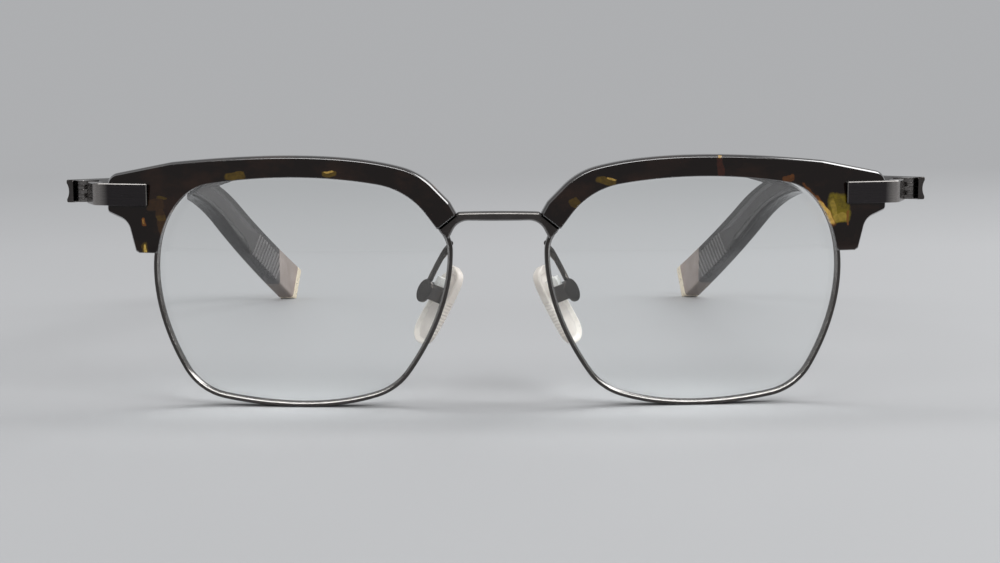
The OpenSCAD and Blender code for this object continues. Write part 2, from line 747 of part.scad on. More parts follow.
module rim_lock() {
    color("#4a4744")
        difference() {
            union() {
                lock_half(lock_z - lock_h / 2, lock_z - rim_cut / 2);
                lock_half(lock_z + rim_cut / 2, lock_z + lock_h / 2);
            }
            prism_y(rim_edge, -far / 4, far);
            translate([lock_x, lock_y, lock_z - far / 2]) cylinder(r = screw_r + held_gap, h = far);
            translate([lock_x, lock_y, lock_z - lock_h / 2 - over])
                cylinder(r = head_r + held_gap, h = head_h + over);
        }
}

module rim_lock_screw() {
    color("#8c8a86")
        translate([lock_x, lock_y, 0])
            difference() {
                union() {
                    translate([0, 0, lock_z - lock_h / 2]) cylinder(r = head_r, h = head_h);
                    translate([0, 0, lock_z - lock_h / 2]) cylinder(r = screw_r, h = lock_h);
                }
                translate([0, 0, lock_z - lock_h / 2 + slot_d]) mirror([0, 0, 1]) slot_z(0, 0, slot_d);
            }
}

// A frame whose -Y axis leaves the brow's back squarely at x, z. Depth p lies at y = p - base_r.
module front_frame(x, z) {
    up = asin((z - centre_z) / (base_r - brow_back));
    side = asin((x - wrap_x) / ((base_r - brow_back) * cos(up)));
    translate([wrap_x, base_r, centre_z]) rotate([-up, 0, side]) children();
}

function tab_centre(t) = t[0] + (rim_w + tab_out) * t[1];

// A cylinder through a tab's screw centre from depth p0 to depth p1
module tab_bore(t, p0, p1, r) {
    front_frame(tab_centre(t)[0], tab_centre(t)[1]) rod_y(0, 0, r, p0 - base_r, p1 - base_r);
}

module brow_tabs() {
    tab_t = rim_d - brow_back - tab_gap;
    color("#4a4744")
        difference() {
            for (t = tabs)
                union() {
                    tab_bore(t, rim_d - tab_t, rim_d, tab_r);
                    front_frame(tab_centre(t)[0], tab_centre(t)[1])
                        rotate([0, -atan2(t[1][1], t[1][0]), 0])
                            translate([-rim_w - tab_out, rim_d - tab_t - base_r, -tab_strip])
                                cube([rim_w + tab_out, tab_t, 2 * tab_strip]);
                }
            prism_y(rim_edge, -far / 4, far);
            for (t = tabs) {
                tab_bore(t, 0, far, screw_r + held_gap);
                tab_bore(t, tab_seat, far, head_r + brow_gap);
            }
        }
}

module brow_screws() {
    top = tab_seat + head_h;
    color("#8c8a86")
        for (t = tabs)
            difference() {
                union() {
                    tab_bore(t, tab_seat - brow_hold + seat, top, screw_r);
                    tab_bore(t, tab_seat, top, head_r);
                }
                front_frame(tab_centre(t)[0], tab_centre(t)[1])
                    translate([-far / 20, top - slot_d - base_r, -slot_w / 2])
                        cube([far / 10, slot_d + over, slot_w]);
            }
}

module end_piece() {
    plan = concat(
        [plate_start],
        conic(along(plate_bend, plate_start, bend_reach), plate_bend, along(plate_bend, return_end, bend_reach), 5),
        [return_end, inner_end, inner_bend, plate_start + plate_t * plate_in]);
    color("#575450")
        difference() {
            translate([0, 0, plate_z - plate_h / 2]) linear_extrude(plate_h) polygon(plan);
            plate_frame()
                for (x = plate_screws)
                    rod_y(x, 0, screw_r + held_gap, plate_screw_in - seat, plate_t + over);
        }
}

module end_piece_screws() {
    color("#8c8a86")
        plate_frame()
            for (x = plate_screws)
                difference() {
                    union() {
                        rod_y(x, 0, screw_r, plate_screw_in, plate_screw_head + head_h);
                        rod_y(x, 0, head_r, plate_screw_head, plate_screw_head + head_h);
                    }
                    translate([x - far / 20, plate_screw_head + head_h - slot_d, -slot_w / 2])
                        cube([far / 10, slot_d + over, slot_w]);
                }
}

// Hinge pieces. Knuckle 0 is the lowest, and even ones belong to the front.

function knuckle_z(k) = hinge_z - barrel_h / 2 + k * knuckle_h;

module knuckle_layer(k) {
    translate([0, 0, knuckle_z(k) + knuckle_gap / 2]) linear_extrude(knuckle_h - knuckle_gap) children();
}

module front_hinge() {
    hinge = [hinge_x, hinge_y];
    slip = seat * return_dir;
    leaf_out = inner_end + seat * return_in;
    leaf_in = leaf_out + leaf_t * return_in;
    leaf_back = leaf_l * return_dir;
    leaf_over = leaf_t / 3 * return_dir;
    web = [
        return_end + slip,
        inner_end + slip,
        leaf_in + slip,
        hinge + [-knuckle_r, 0.1],
        hinge,
        hinge + [-0.4 * knuckle_r, -0.9 * knuckle_r]
    ];
    color("#6a6763")
        difference() {
            union() {
                for (k = [0, 2, 4]) {
                    knuckle_layer(k) translate(hinge) circle(r = knuckle_r);
                    knuckle_layer(k) polygon(web);
                }
                translate([0, 0, plate_z - plate_h / 2 + seat])
                    linear_extrude(plate_h - 2 * seat)
                        polygon([leaf_out + leaf_over, leaf_in + leaf_over, leaf_in - leaf_back, leaf_out - leaf_back]);
            }
            translate([hinge_x, hinge_y, 0]) cylinder(r = pin_r + held_gap, h = 2 * far);
            translate([hinge_x, hinge_y, knuckle_z(5) - knuckle_h / 2])
                cylinder(r = head_r + held_gap, h = far);
        }
}

module temple_hinge() {
    color("#6a6763")
        difference() {
            union() {
                for (k = [1, 3])
                    knuckle_layer(k) {
                        translate([hinge_x, hinge_y]) circle(r = knuckle_r);
                        translate([hinge_x, hinge_y]) square([knuckle_r - bar_gap / 2, 2 * knuckle_r - bar_gap]);
                    }
                bar_frame()
                    translate([-bar_t / 2 - leaf_t, 1.5, -barrel_h / 2])
                        cube([leaf_t, leaf_l, barrel_h]);
            }
            translate([hinge_x, hinge_y, 0]) cylinder(r = pin_r + pin_play, h = 2 * far);
        }
}

module hinge_screw() {
    color("#8c8a86")
        translate([hinge_x, hinge_y, 0])
            difference() {
                union() {
                    translate([0, 0, knuckle_z(0) + knuckle_gap / 2])
                        cylinder(r = pin_r, h = barrel_h - knuckle_gap);
                    translate([0, 0, knuckle_z(5) - knuckle_h / 2])
                        cylinder(r = head_r, h = (knuckle_h - knuckle_gap) / 2);
                }
                slot_z(0, 0, knuckle_z(5) - knuckle_gap / 2);
            }
}

// Temple pieces

module temple_bar() {
    color("#3f3d3b")
        intersection() {
            bar_frame()
                difference() {
                    translate([-bar_t / 2, -post_l, -bar_h / 2]) cube([bar_t, sleeve_at + far / 2, bar_h]);
                    rod_y(bar_t / 2 + channel_r - channel_d, 0, channel_r, -far, sleeve_at + far);
                }
            translate([0, 0, -over]) cube([2 * bar_x, sleeve_y, 2 * far]);
        }
}

module temple_core() {
    color("#b9b4ab")
        union() {
            intersection() {
                prism_x(core_side(0), 0, 2 * bar_x);
                temple_band(-core_t / 2, core_t / 2);
            }
            intersection() {
                temple_band(-core_t / 2 - rib_d, 0);
                for (i = [0 : rib_count - 1]) {
                    c = along(rib_stop, rib_start, rib_pitch * i + rib_w / 2);
                    a = rib_w / 2 * tip_dir;
                    h = rib_h / 2 * tip_up;
                    prism_x([c - a - h, c + a - h, c + a + h, c - a + h], 0, 2 * bar_x);
                }
            }
        }
}

module cap_stub(g) {
    c = along(mid_end, mid_ear, cap_t / 2);
    translate([temple_x(c[0]), c[0], c[1]])
        rotate([90 - tip_a, 0, 0])
            rotate([0, atan2(temple_x(c[0] - stub_l) - temple_x(c[0]), stub_l), 0])
                cylinder(r = stub_r + g, h = stub_l + g + cap_t / 2);
}

module above_rest() {
    cube([2 * bar_x, foot_y + far, 2 * far]);
}

module tip_sleeve() {
    color("#6d6a68", 0.7)
        difference() {
            intersection() {
                prism_x(tip_side(cap_t + seat), 0, 2 * bar_x);
                temple_band(-sleeve_t / 2, sleeve_t / 2);
                above_rest();
            }
            intersection() {
                prism_x(core_side(seat), 0, 2 * bar_x);
                temple_band(-core_t / 2 - seat, core_t / 2 + seat);
            }
            intersection() {
                prism_x([
                    rib_start - (rib_h / 2 + seat) * tip_up - seat * tip_dir,
                    rib_stop - (rib_h / 2 + seat) * tip_up + seat * tip_dir,
                    rib_stop + (rib_h / 2 + seat) * tip_up + seat * tip_dir,
                    rib_start + (rib_h / 2 + seat) * tip_up - seat * tip_dir
                ], 0, 2 * bar_x);
                temple_band(-core_t / 2 - rib_d - seat, 0);
            }
            cap_stub(held_gap);
        }
}

module tip_cap() {
    color("#c9a25a")
        union() {
            intersection() {
                prism_x([foot, end_top, along(end_top, ear_top, cap_t), along(foot, ear_low, cap_t)], 0, 2 * bar_x);
                temple_band(-sleeve_t / 2, sleeve_t / 2);
                above_rest();
            }
            cap_stub(0);
        }
}

// Nose pad pieces

module pad_arm() {
    start = [nose_x - rim_w / 2, 0, top_z - nose_bend_drop - 0.5];
    from = [start[0], front_y(start[0], start[2], rim_d) + seat, start[2]];
    to = pad_point([disc_x + disc_t / 2, 0, disc_r - disc_drop + seat]);
    way = [from, from + [0.1, 3.4, 0], to + [-1.2, 1.2, 2.6], to];
    path = [for (i = [0 : 2 * crown_n])
        let (t = i / (2 * crown_n), u = 1 - t)
        u * u * u * way[0] + 3 * u * u * t * way[1] + 3 * u * t * t * way[2] + t * t * t * way[3]];
    color("#4a4744") tube(path, wire_r, 10);
}

module pad_box() {
    color("#4a4744")
        pad_frame()
            difference() {
                union() {
                    translate([disc_x, 0, -disc_drop]) rotate([0, 90, 0]) cylinder(r = disc_r, h = disc_t);
                    translate([-box_front, -box_w / 2, -box_h / 2]) cube([box_front + disc_x, box_w, box_h]);
                }
                translate([-box_front - over, -box_in, -box_h]) cube([box_front + over + box_base, 2 * box_in, 2 * box_h]);
                rod_y(0, 0, pad_pin_r + held_gap, -far / 4, far / 4);
            }
}

module pad_screw() {
    color("#8c8a86")
        pad_frame()
            difference() {
                union() {
                    rod_y(0, 0, pad_pin_r, -box_w / 2, box_w / 2 + pad_head_h / 2);
                    rod_y(0, 0, pad_head_r, box_w / 2, box_w / 2 + pad_head_h);
                }
                translate([-far / 20, box_w / 2 + pad_head_h - slot_d / 2, -slot_w / 2]) cube([far / 10, over, slot_w]);
            }
}

module pad_core_shape(g) {
    w = box_in - lug_play + g;
    translate([core_plate_x - core_plate_t / 2 - g, -pad_w / 4 - g, -pad_low - pad_l / 4 - g])
        cube([core_plate_t + 2 * g, pad_w / 2 + 2 * g, pad_l / 2 + 2 * g]);
    translate([core_plate_x, -w, -lug_r - g]) cube([-core_plate_x, 2 * w, 2 * (lug_r + g)]);
    translate([core_plate_x, -w, 0]) cube([boss_out + g - core_plate_x, 2 * w, boss_h + g]);
    rod_y(0, 0, lug_r + g, -w, w);
}

module pad_core() {
    color("#d8d8d4")
        pad_frame()
            difference() {
                pad_core_shape(0);
                rod_y(0, 0, pad_pin_r + pin_play, -far / 4, far / 4);
            }
}

module nose_pad() {
    outer_x = -pad_off;
    face_x = -pad_off - pad_t;
    color("#e6e4df", 0.9)
        pad_frame()
            difference() {
                intersection() {
                    translate([0, 0, -pad_low]) prism_x(pad_edge, face_x, outer_x);
                    translate([face_x + pad_across_r, 0, -pad_low - pad_l])
                        cylinder(r = pad_across_r, h = 2 * pad_l);
                    translate([face_x + pad_along_r, 0, -pad_low]) sphere(r = pad_along_r, $fn = 2 * sphere_n);
                }
                translate([0, 0, -pad_low]) prism_x(grow(pad_edge, -pad_lip_w), outer_x - pad_lip, 0);
                pad_core_shape(seat);
            }
}

bridge();
on_side(-1) brow();  // brow_left
on_side(1) brow();  // brow_right
on_side(-1) rim();  // rim_left
on_side(1) rim();  // rim_right
on_side(-1) lens();  // lens_left
on_side(1) lens();  // lens_right
on_side(-1) rim_lock();  // rim_lock_left
on_side(1) rim_lock();  // rim_lock_right
on_side(-1) rim_lock_screw();  // rim_lock_screw_left
on_side(1) rim_lock_screw();  // rim_lock_screw_right
on_side(-1) brow_tabs();  // brow_tabs_left
on_side(1) brow_tabs();  // brow_tabs_right
on_side(-1) brow_screws();  // brow_screws_left
on_side(1) brow_screws();  // brow_screws_right
on_side(-1) end_piece();  // end_piece_left
on_side(1) end_piece();  // end_piece_right
on_side(-1) end_piece_screws();  // end_piece_screws_left
on_side(1) end_piece_screws();  // end_piece_screws_right
on_side(-1) front_hinge();  // front_hinge_left
on_side(1) front_hinge();  // front_hinge_right
on_side(-1) temple_hinge();  // temple_hinge_left
on_side(1) temple_hinge();  // temple_hinge_right
on_side(-1) hinge_screw();  // hinge_screw_left
on_side(1) hinge_screw();  // hinge_screw_right
on_side(-1) pad_arm();  // pad_arm_left
on_side(1) pad_arm();  // pad_arm_right
on_side(-1) pad_box();  // pad_box_left
on_side(1) pad_box();  // pad_box_right
on_side(-1) pad_screw();  // pad_screw_left
on_side(1) pad_screw();  // pad_screw_right
on_side(-1) pad_core();  // pad_core_left
on_side(1) pad_core();  // pad_core_right
on_side(-1) nose_pad();  // nose_pad_left
on_side(1) nose_pad();  // nose_pad_right
on_side(-1) temple_bar();  // temple_bar_left
on_side(1) temple_bar();  // temple_bar_right
on_side(-1) temple_core();  // temple_core_left
on_side(1) temple_core();  // temple_core_right
on_side(-1) tip_sleeve();  // tip_sleeve_left
on_side(1) tip_sleeve();  // tip_sleeve_right
on_side(-1) tip_cap();  // tip_cap_left
on_side(1) tip_cap();  // tip_cap_right
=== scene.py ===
"""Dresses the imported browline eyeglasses: finer pieces, materials, floor, light and camera.

Sizes are in millimetres in the front's own frame, with the rims' front at y = 0 near the middle.
place() turns them into metres in the row frame.
"""

import math

import bmesh
import bpy
import numpy as np
from mathutils import Matrix, Vector
from mathutils.geometry import delaunay_2d_cdt


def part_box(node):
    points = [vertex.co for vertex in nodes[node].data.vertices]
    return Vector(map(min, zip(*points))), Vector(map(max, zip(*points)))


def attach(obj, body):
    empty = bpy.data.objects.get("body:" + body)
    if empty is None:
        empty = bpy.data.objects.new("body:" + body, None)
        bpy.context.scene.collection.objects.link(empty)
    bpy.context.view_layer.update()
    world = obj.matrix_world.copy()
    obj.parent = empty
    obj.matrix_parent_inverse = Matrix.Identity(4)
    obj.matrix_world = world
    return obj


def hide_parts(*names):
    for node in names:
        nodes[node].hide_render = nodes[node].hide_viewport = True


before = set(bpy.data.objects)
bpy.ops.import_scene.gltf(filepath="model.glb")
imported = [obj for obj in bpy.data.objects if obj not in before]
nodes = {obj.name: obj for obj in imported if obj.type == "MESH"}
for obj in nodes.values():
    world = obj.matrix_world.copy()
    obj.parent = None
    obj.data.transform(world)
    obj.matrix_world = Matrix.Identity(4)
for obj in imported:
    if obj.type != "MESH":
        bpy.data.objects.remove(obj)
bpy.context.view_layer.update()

# Sizes that the solids have too

LENS_W = 50.5
LENS_H = 39.6
LENS_T = 1.4
LENS_APART = 16.7
LENS_GAP = 0.03
BASE_R = 132.0
WRAP_X = 25.0
CURVE_UP = 1.2
RIM_W = 0.9
RIM_D = 2.8
GROOVE_D = 0.4
BROW_FRONT = 1.4
BROW_BACK = 2.1
BROW_GAP = 0.05
BROW_REACH = 9.15
CUT_A = 37.5
CUT_OUT = 1.55
CUT_DROP = 6.3
LOCK_DROP = 6.5
BRIDGE_FRONT = 1.2
BRIDGE_D = 1.9
BRIDGE_HALF = 6.9
BAND_L = 3.1
BAND_W = 1.0
BAND_IN = 0.35
TAIL_L = 2.1
TAIL_OUT = 1.5
SWEEP_R = 3
HEAD_R = 0.85
HINGE = np.array([73.065, 12.75, 36.8])
KNUCKLE_R = 1.15
BAR_GAP = 0.1
BAR_T = 1.2
BAR_H = 4.0
CHANNEL_R = 3.2
CHANNEL_D = 0.4
POST_L = 1.4
BAR_FALL = 2.6
BAR_LEAN = 1.9
SLEEVE_AT = 71.2
TEMPLE_L = 134.3
BOW_L = 65.0
BOW_IN = 18.0
BOW_POWER = 1.7
SLEEVE_T = 4.0
SLEEVE_H = 4.4
TIP_LOW_A = 37.1
TIP_TOP_A = 35.5
TIP_H = 7.8
TIP_END_A = 18.0
EAR_L = 14.0
FOOT_D = 0.6
CAP_T = 1.8
SMOKE = 340.0
RIB_COUNT = 11
RIB_PITCH = 1.2
RIB_W = 0.6
RIB_END = 8.6
PAD_AT = np.array([11.2, 8.6, 19.1])
PAD_TILT = 27.0
PAD_SPLAY = 30.0
PAD_L = 15.2
PAD_W = 6.8
PAD_T = 2.0
PAD_LOW = 1.65
PAD_OFF = 1.3
PAD_SINK = 0.4
PAD_ACROSS_R = 9
PAD_ALONG_R = 60
WIRE_R = 0.5
SEAT = 0.02
PLATE_H = 3.8
PLATE_T = 1.3
PLATE_L = 10.1
PLATE_OUT = 1.65
PLATE_PROUD = 0.7
PLATE_DROP = 3.1
RETURN_L = 5.8
RETURN_A = 24
BEND_R = 2.4
BRIDGE_H = 1.7
BRIDGE_RISE = 0.3
DISC_R = 2.1
DISC_DROP = 0.4

NOSE_X = LENS_APART / 2 + GROOVE_D
SIDE_X = LENS_APART / 2 + LENS_W - GROOVE_D
LOW_Z = RIM_W
TOP_Z = RIM_W + LENS_H - 2 * GROOVE_D
CENTRE_Z = (LOW_Z + TOP_Z) / 2 + CURVE_UP
CUT_X = NOSE_X - CUT_OUT
CUT_Z = TOP_Z - CUT_DROP
LOCK_Z = TOP_Z - LOCK_DROP
BAR_X = HINGE[0] + KNUCKLE_R + BAR_GAP + BAR_T / 2

# Metres in a millimetre
MM = 0.001

# The row frame's middle lies this far behind the front's own zero, and the hinge screw's head says where
MID_Y = HINGE[1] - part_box("hinge_screw_right")[0].y * 1000 - HEAD_R

# Outline corners, as distances from the opening's sides, top and bottom, with their radii

NOSE_BEND_DROP, NOSE_BEND_R = 11.1, 5.2
TOP_NOSE_IN, TOP_NOSE_DROP, TOP_NOSE_R = 6.7, 2.1, 13.2
TOP_CROWN_IN, TOP_CROWN = 25.7, 1.2
TOP_TEMPLE_IN, TOP_TEMPLE_DROP, TOP_TEMPLE_R = 6.7, 1.5, 8.3
SIDE_CROWN, SIDE_CROWN_DROP = 6.2, 13.1
LOW_TEMPLE_IN, LOW_TEMPLE_RISE, LOW_TEMPLE_R = 6.9, 2.1, 9.4
LOW_CROWN_IN, LOW_CROWN = 23.1, 1.5
LOW_NOSE_IN, LOW_NOSE_RISE, LOW_NOSE_R = 9.2, 2.7, 10.2
NOSE_CROWN, NOSE_CROWN_RISE = 0.1, 16
BROW_NOSE_OUT, BROW_NOSE_DROP, BROW_NOSE_R = 0.45, 4.35, 2
SHOULDER_IN, SHOULDER_RISE, SHOULDER_R = 4.6, 0.8, 12.3
BROW_CROWN_IN, BROW_CROWN = 20.7, 5.15
OUTER_IN, OUTER_RISE, OUTER_R = 2.4, 2.45, 10
END_TOP_RISE, END_TOP_R = 0.15, 2.2
END_LOW_DROP, END_LOW_R = 6.2, 0.9
HOLLOW_OUT, HOLLOW_DROP, HOLLOW_R = 5.4, 7.75, 2.7
LEG_OUT, LEG_DROP, LEG_R, LEG_IN = 4, 13, 0.5, 6
CUT_IN = 8

# A corner with this radius is a long curve from its neighbour before to its neighbour after
CROWN = -1


def cos(a):
    return math.cos(math.radians(a))


def sin(a):
    return math.sin(math.radians(a))


def tan(a):
    return math.tan(math.radians(a))


def unit(v):
    v = np.asarray(v, float)
    return v / np.linalg.norm(v)


def place(points, side=1):
    """Millimetres in the front's frame to metres in the row frame, on one side."""
    p = np.array(points, float).reshape(-1, 3) - [0, MID_Y, 0]
    p[:, 0] *= side
    return p * MM


def front_y(x, z, p):
    """Depth p behind the curved front face of the rims."""
    return BASE_R - np.sqrt((BASE_R - p) ** 2 - (x - WRAP_X) ** 2 - (z - CENTRE_Z) ** 2)


# Outlines


def conic(a, p, b, n):
    """A smooth curve from a to b, along the lines to p at its ends. It is round where both are as long."""
    a, p, b = (np.asarray(v, float) for v in (a, p, b))
    pull = math.sqrt(max(0.0, (1 + unit(p - a) @ unit(b - p)) / 2))
    t = np.linspace(0, 1, n + 1)[:, None]
    wa, wp, wb = (1 - t) ** 2, 2 * pull * t * (1 - t), t * t
    return (wa * a + wp * p + wb * b) / (wa + wp + wb)


def outline(corners, corner_n=14, crown_n=30):
    """A closed loop through straight sides and rounded corners, each given as x, z and radius."""
    n = len(corners)

    def at(i):
        return np.array(corners[i % n][:2], float)

    def reach(i):
        r = corners[i % n][2]
        if r <= 0:
            return 0.0
        c = unit(at(i) - at(i - 1)) @ unit(at(i + 1) - at(i))
        return r * math.tan(math.acos(max(-1, min(1, c))) / 2)

    made = []
    for i in range(n):
        a, p, b = at(i - 1), at(i), at(i + 1)
        if corners[i][2] == 0:
            made.append(p)
            continue
        crown = corners[i][2] == CROWN
        ra = np.linalg.norm(p - a) - reach(i - 1) if crown else reach(i)
        rb = np.linalg.norm(b - p) - reach(i + 1) if crown else reach(i)
        c = conic(p + unit(a - p) * ra, p, p + unit(b - p) * rb, crown_n if crown else corner_n)
        made.extend(c[1:-1] if crown else c)
    return np.array(made)


def normals_out(loop):
    """Unit normals of a closed loop at its points."""
    t = np.roll(loop, -1, 0) - np.roll(loop, 1, 0)
    t /= np.linalg.norm(t, axis=1)[:, None]
    return np.stack([-t[:, 1], t[:, 0]], 1)


def grow(loop, d):
    """The loop moved outwards by d, or inwards where d is negative."""
    return loop + d * normals_out(loop)


def refine(loop, step):
    """The same closed loop with points no further apart than a step."""
    made = []
    for a, b in zip(loop, np.roll(loop, -1, 0)):
        n = max(1, int(np.ceil(np.linalg.norm(b - a) / step)))
        made.extend(a + (b - a) * k / n for k in range(n))
    return np.array(made)


def fitted(loop, x0, x1, z0, z1):
    """The loop stretched to fill a box."""
    lo, hi = loop.min(0), loop.max(0)
    return (loop - lo) / (hi - lo) * [x1 - x0, z1 - z0] + [x0, z0]


opening = fitted(outline([
    (NOSE_X, TOP_Z - NOSE_BEND_DROP, NOSE_BEND_R),
    (NOSE_X + TOP_NOSE_IN, TOP_Z - TOP_NOSE_DROP, TOP_NOSE_R),
    (NOSE_X + TOP_CROWN_IN, TOP_Z + TOP_CROWN, CROWN),
    (SIDE_X - TOP_TEMPLE_IN, TOP_Z - TOP_TEMPLE_DROP, TOP_TEMPLE_R),
    (SIDE_X + SIDE_CROWN, TOP_Z - SIDE_CROWN_DROP, CROWN),
    (SIDE_X - LOW_TEMPLE_IN, LOW_Z + LOW_TEMPLE_RISE, LOW_TEMPLE_R),
    (NOSE_X + LOW_CROWN_IN, LOW_Z - LOW_CROWN, CROWN),
    (NOSE_X + LOW_NOSE_IN, LOW_Z + LOW_NOSE_RISE, LOW_NOSE_R),
    (NOSE_X - NOSE_CROWN, LOW_Z + NOSE_CROWN_RISE, CROWN),
]), NOSE_X, SIDE_X, LOW_Z, TOP_Z)

brow_corners = [
    (CUT_X, CUT_Z, 0),
    (NOSE_X - BROW_NOSE_OUT, TOP_Z - BROW_NOSE_DROP, BROW_NOSE_R),
    (NOSE_X + SHOULDER_IN, TOP_Z + SHOULDER_RISE, SHOULDER_R),
    (NOSE_X + BROW_CROWN_IN, TOP_Z + BROW_CROWN, CROWN),
    (SIDE_X - OUTER_IN, TOP_Z + OUTER_RISE, OUTER_R),
    (SIDE_X + BROW_REACH, TOP_Z + END_TOP_RISE, END_TOP_R),
    (SIDE_X + BROW_REACH, TOP_Z - END_LOW_DROP, END_LOW_R),
    (SIDE_X + HOLLOW_OUT, TOP_Z - HOLLOW_DROP, HOLLOW_R),
    (SIDE_X + LEG_OUT, TOP_Z - LEG_DROP, LEG_R),
    (SIDE_X - LEG_IN, TOP_Z - LEG_DROP, 0),
    (CUT_X + CUT_IN * cos(CUT_A), CUT_Z - CUT_IN * sin(CUT_A), 0),
]


def crossings(loop, p, d):
    """Where a loop crosses the ray from p along d, as (distance, index, point)."""
    found = []
    p, d = np.array(p, float), unit(d)
    n = np.array([-d[1], d[0]])
    for i, (a, b) in enumerate(zip(loop, np.roll(loop, -1, 0))):
        da, db = (a - p) @ n, (b - p) @ n
        if da * db < 0:
            q = a + (b - a) * da / (da - db)
            if (q - p) @ d > 0:
                found.append(((q - p) @ d, i, q))
    return sorted(found, key=lambda f: f[0])


def brow_loop(inner):
    """The brow's outer outline closed along an inner loop, between the cut end and the leg's foot."""
    outer = outline(brow_corners)[:-2]
    foot = outer[-1]
    _, i_cut, q_cut = crossings(inner, (CUT_X, CUT_Z), (cos(CUT_A), -sin(CUT_A)))[0]
    _, i_leg, q_leg = crossings(inner, foot, (-1, 0))[0]
    return np.vstack([outer, [q_leg], inner[i_cut + 1:i_leg + 1][::-1], [q_cut]])


# Mesh makers

# Points closer than this, in metres, are one
SAME_POINT = 2e-7

# Points whose distances to an outline are measured in one go
BATCH = 2000

# Turns of the rings round a rounded edge
ROUND_TURNS = (14, 28, 42, 56, 72, 90)


def new_object(name, data):
    """An object in the scene."""
    obj = bpy.data.objects.new(name, data)
    bpy.context.scene.collection.objects.link(obj)
    return obj


def to_object(name, verts, faces, body, paints, slot, nodes_for, sharp, marked=()):
    """A piece on its body. The marked faces take the second of its materials."""
    mesh = bpy.data.meshes.new(name)
    mesh.from_pydata([tuple(v) for v in verts], [], faces)
    for k in marked:
        mesh.polygons[k].material_index = 1
    bm = bmesh.new()
    bm.from_mesh(mesh)
    bmesh.ops.remove_doubles(bm, verts=bm.verts, dist=SAME_POINT)
    bmesh.ops.recalc_face_normals(bm, faces=bm.faces)
    bm.to_mesh(mesh)
    bm.free()
    mesh.shade_smooth()
    mesh.set_sharp_from_angle(angle=math.radians(sharp))
    for paint in paints:
        mesh.materials.append(paint)
    obj = new_object(name, mesh)
    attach(obj, body)
    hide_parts(*nodes_for)


def edge_distance(points, loop):
    """Each point's distance to the nearest side of a closed loop."""
    a, b = loop, np.roll(loop, -1, 0)
    d = b - a
    best = np.full(len(points), 1e9)
    for k in range(0, len(points), BATCH):
        rel = points[k:k + BATCH, None] - a[None]
        t = np.clip((rel * d).sum(2) / np.maximum((d * d).sum(1), 1e-12), 0, 1)
        best[k:k + BATCH] = np.sqrt(((rel - t[..., None] * d) ** 2).sum(2)).min(1)
    return best


def inside(points, loop):
    """Which of the points lie inside a closed loop."""
    a, b = loop, np.roll(loop, -1, 0)
    x, y = points[:, 0:1], points[:, 1:2]
    cross = (a[:, 1] > y) != (b[:, 1] > y)
    rise = np.where(b[:, 1] == a[:, 1], 1e-12, b[:, 1] - a[:, 1])
    at = a[:, 0] + (y - a[:, 1]) * (b[:, 0] - a[:, 0]) / rise
    return (cross & (x < at)).sum(1) % 2 == 1


def rounded(d, r):
    """How far an edge lies behind its face, d from it: a radius, or flats through (inset, depth) points."""
    if isinstance(r, list):
        return np.interp(d, [p[0] for p in r], [p[1] for p in r])
    if r <= 0:
        return np.zeros_like(d)
    k = np.clip(r - d, 0, r)
    return r - np.sqrt(np.maximum(r * r - k * k, 0))


def plate(loop, front, back, r_front, r_back, pitch, relief=None):
    """A plate with rounded edges. front and back give the depth of its faces at 2D points."""
    inset = [0]
    for r in (r_front, r_back):
        if isinstance(r, list):
            inset += [p[0] for p in r[1:]]
        elif r > 0:
            inset += [r * (1 - math.cos(math.radians(a))) for a in ROUND_TURNS]
    inset = sorted(set(inset))
    rings = [loop]
    for d in inset[1:] + [inset[-1] + pitch / 2]:
        ring = grow(loop, -d)
        keep = (edge_distance(ring, loop) > 0.96 * d) & inside(ring, loop)
        rings.append(ring[keep])
    lo, hi = loop.min(0), loop.max(0)
    gx, gz = np.meshgrid(np.arange(lo[0], hi[0], pitch), np.arange(lo[1], hi[1], pitch))
    gx = gx + (np.arange(gx.shape[0]) % 2)[:, None] * pitch / 2
    grid = np.stack([gx.ravel(), gz.ravel()], 1)
    grid = grid[inside(grid, loop)]
    grid = grid[edge_distance(grid, loop) > inset[-1] + 0.9 * pitch]
    points = np.vstack(rings + [grid])
    n = len(loop)
    out = delaunay_2d_cdt(
        [Vector(p) for p in points], [(i, (i + 1) % n) for i in range(n)], [], 1, 1e-6)
    flat, faces, origin = np.array([tuple(v) for v in out[0]]), out[2], out[3]
    index = {}
    for new, olds in enumerate(origin):
        for old in olds:
            index[old] = new
    d = edge_distance(flat, loop)
    d[[index[i] for i in range(n)]] = 0
    yf = front(flat) + rounded(d, r_front)
    yb = back(flat) - rounded(d, r_back)
    if relief is not None:
        yb = yb - relief(flat, d)
    m = len(flat)
    verts = np.vstack([
        np.stack([flat[:, 0], yf, flat[:, 1]], 1),
        np.stack([flat[:, 0], yb, flat[:, 1]], 1)])
    quads = [[index[i], index[(i + 1) % n], m + index[(i + 1) % n], m + index[i]] for i in range(n)]
    return verts, [list(f) for f in faces] + [[m + i for i in reversed(f)] for f in faces] + quads


def loft(rings, around=False):
    """A skin over rings of as many points each. around joins the last ring to the first."""
    rings = np.array(rings, float)
    n, m = rings.shape[:2]
    faces = []
    for i in range(n if around else n - 1):
        a, b = i * m, (i + 1) % n * m
        for k in range(m):
            j = (k + 1) % m
            faces.append([a + k, a + j, b + j, b + k])
    if not around:
        faces.append(list(range(m))[::-1])
        faces.append([(n - 1) * m + k for k in range(m)])
    return rings.reshape(-1, 3), faces


def rounded_box(w, h, r, n):
    """A rounded rectangle about the middle, as 2D points."""
    made = []
    for cx, cy, a0 in ((1, 1, 0), (-1, 1, 90), (-1, -1, 180), (1, -1, 270)):
        for k in range(n + 1):
            a = a0 + 90 * k / n
            made.append([cx * (w / 2 - r) + r * cos(a), cy * (h / 2 - r) + r * sin(a)])
    return np.array(made)


# Material makers


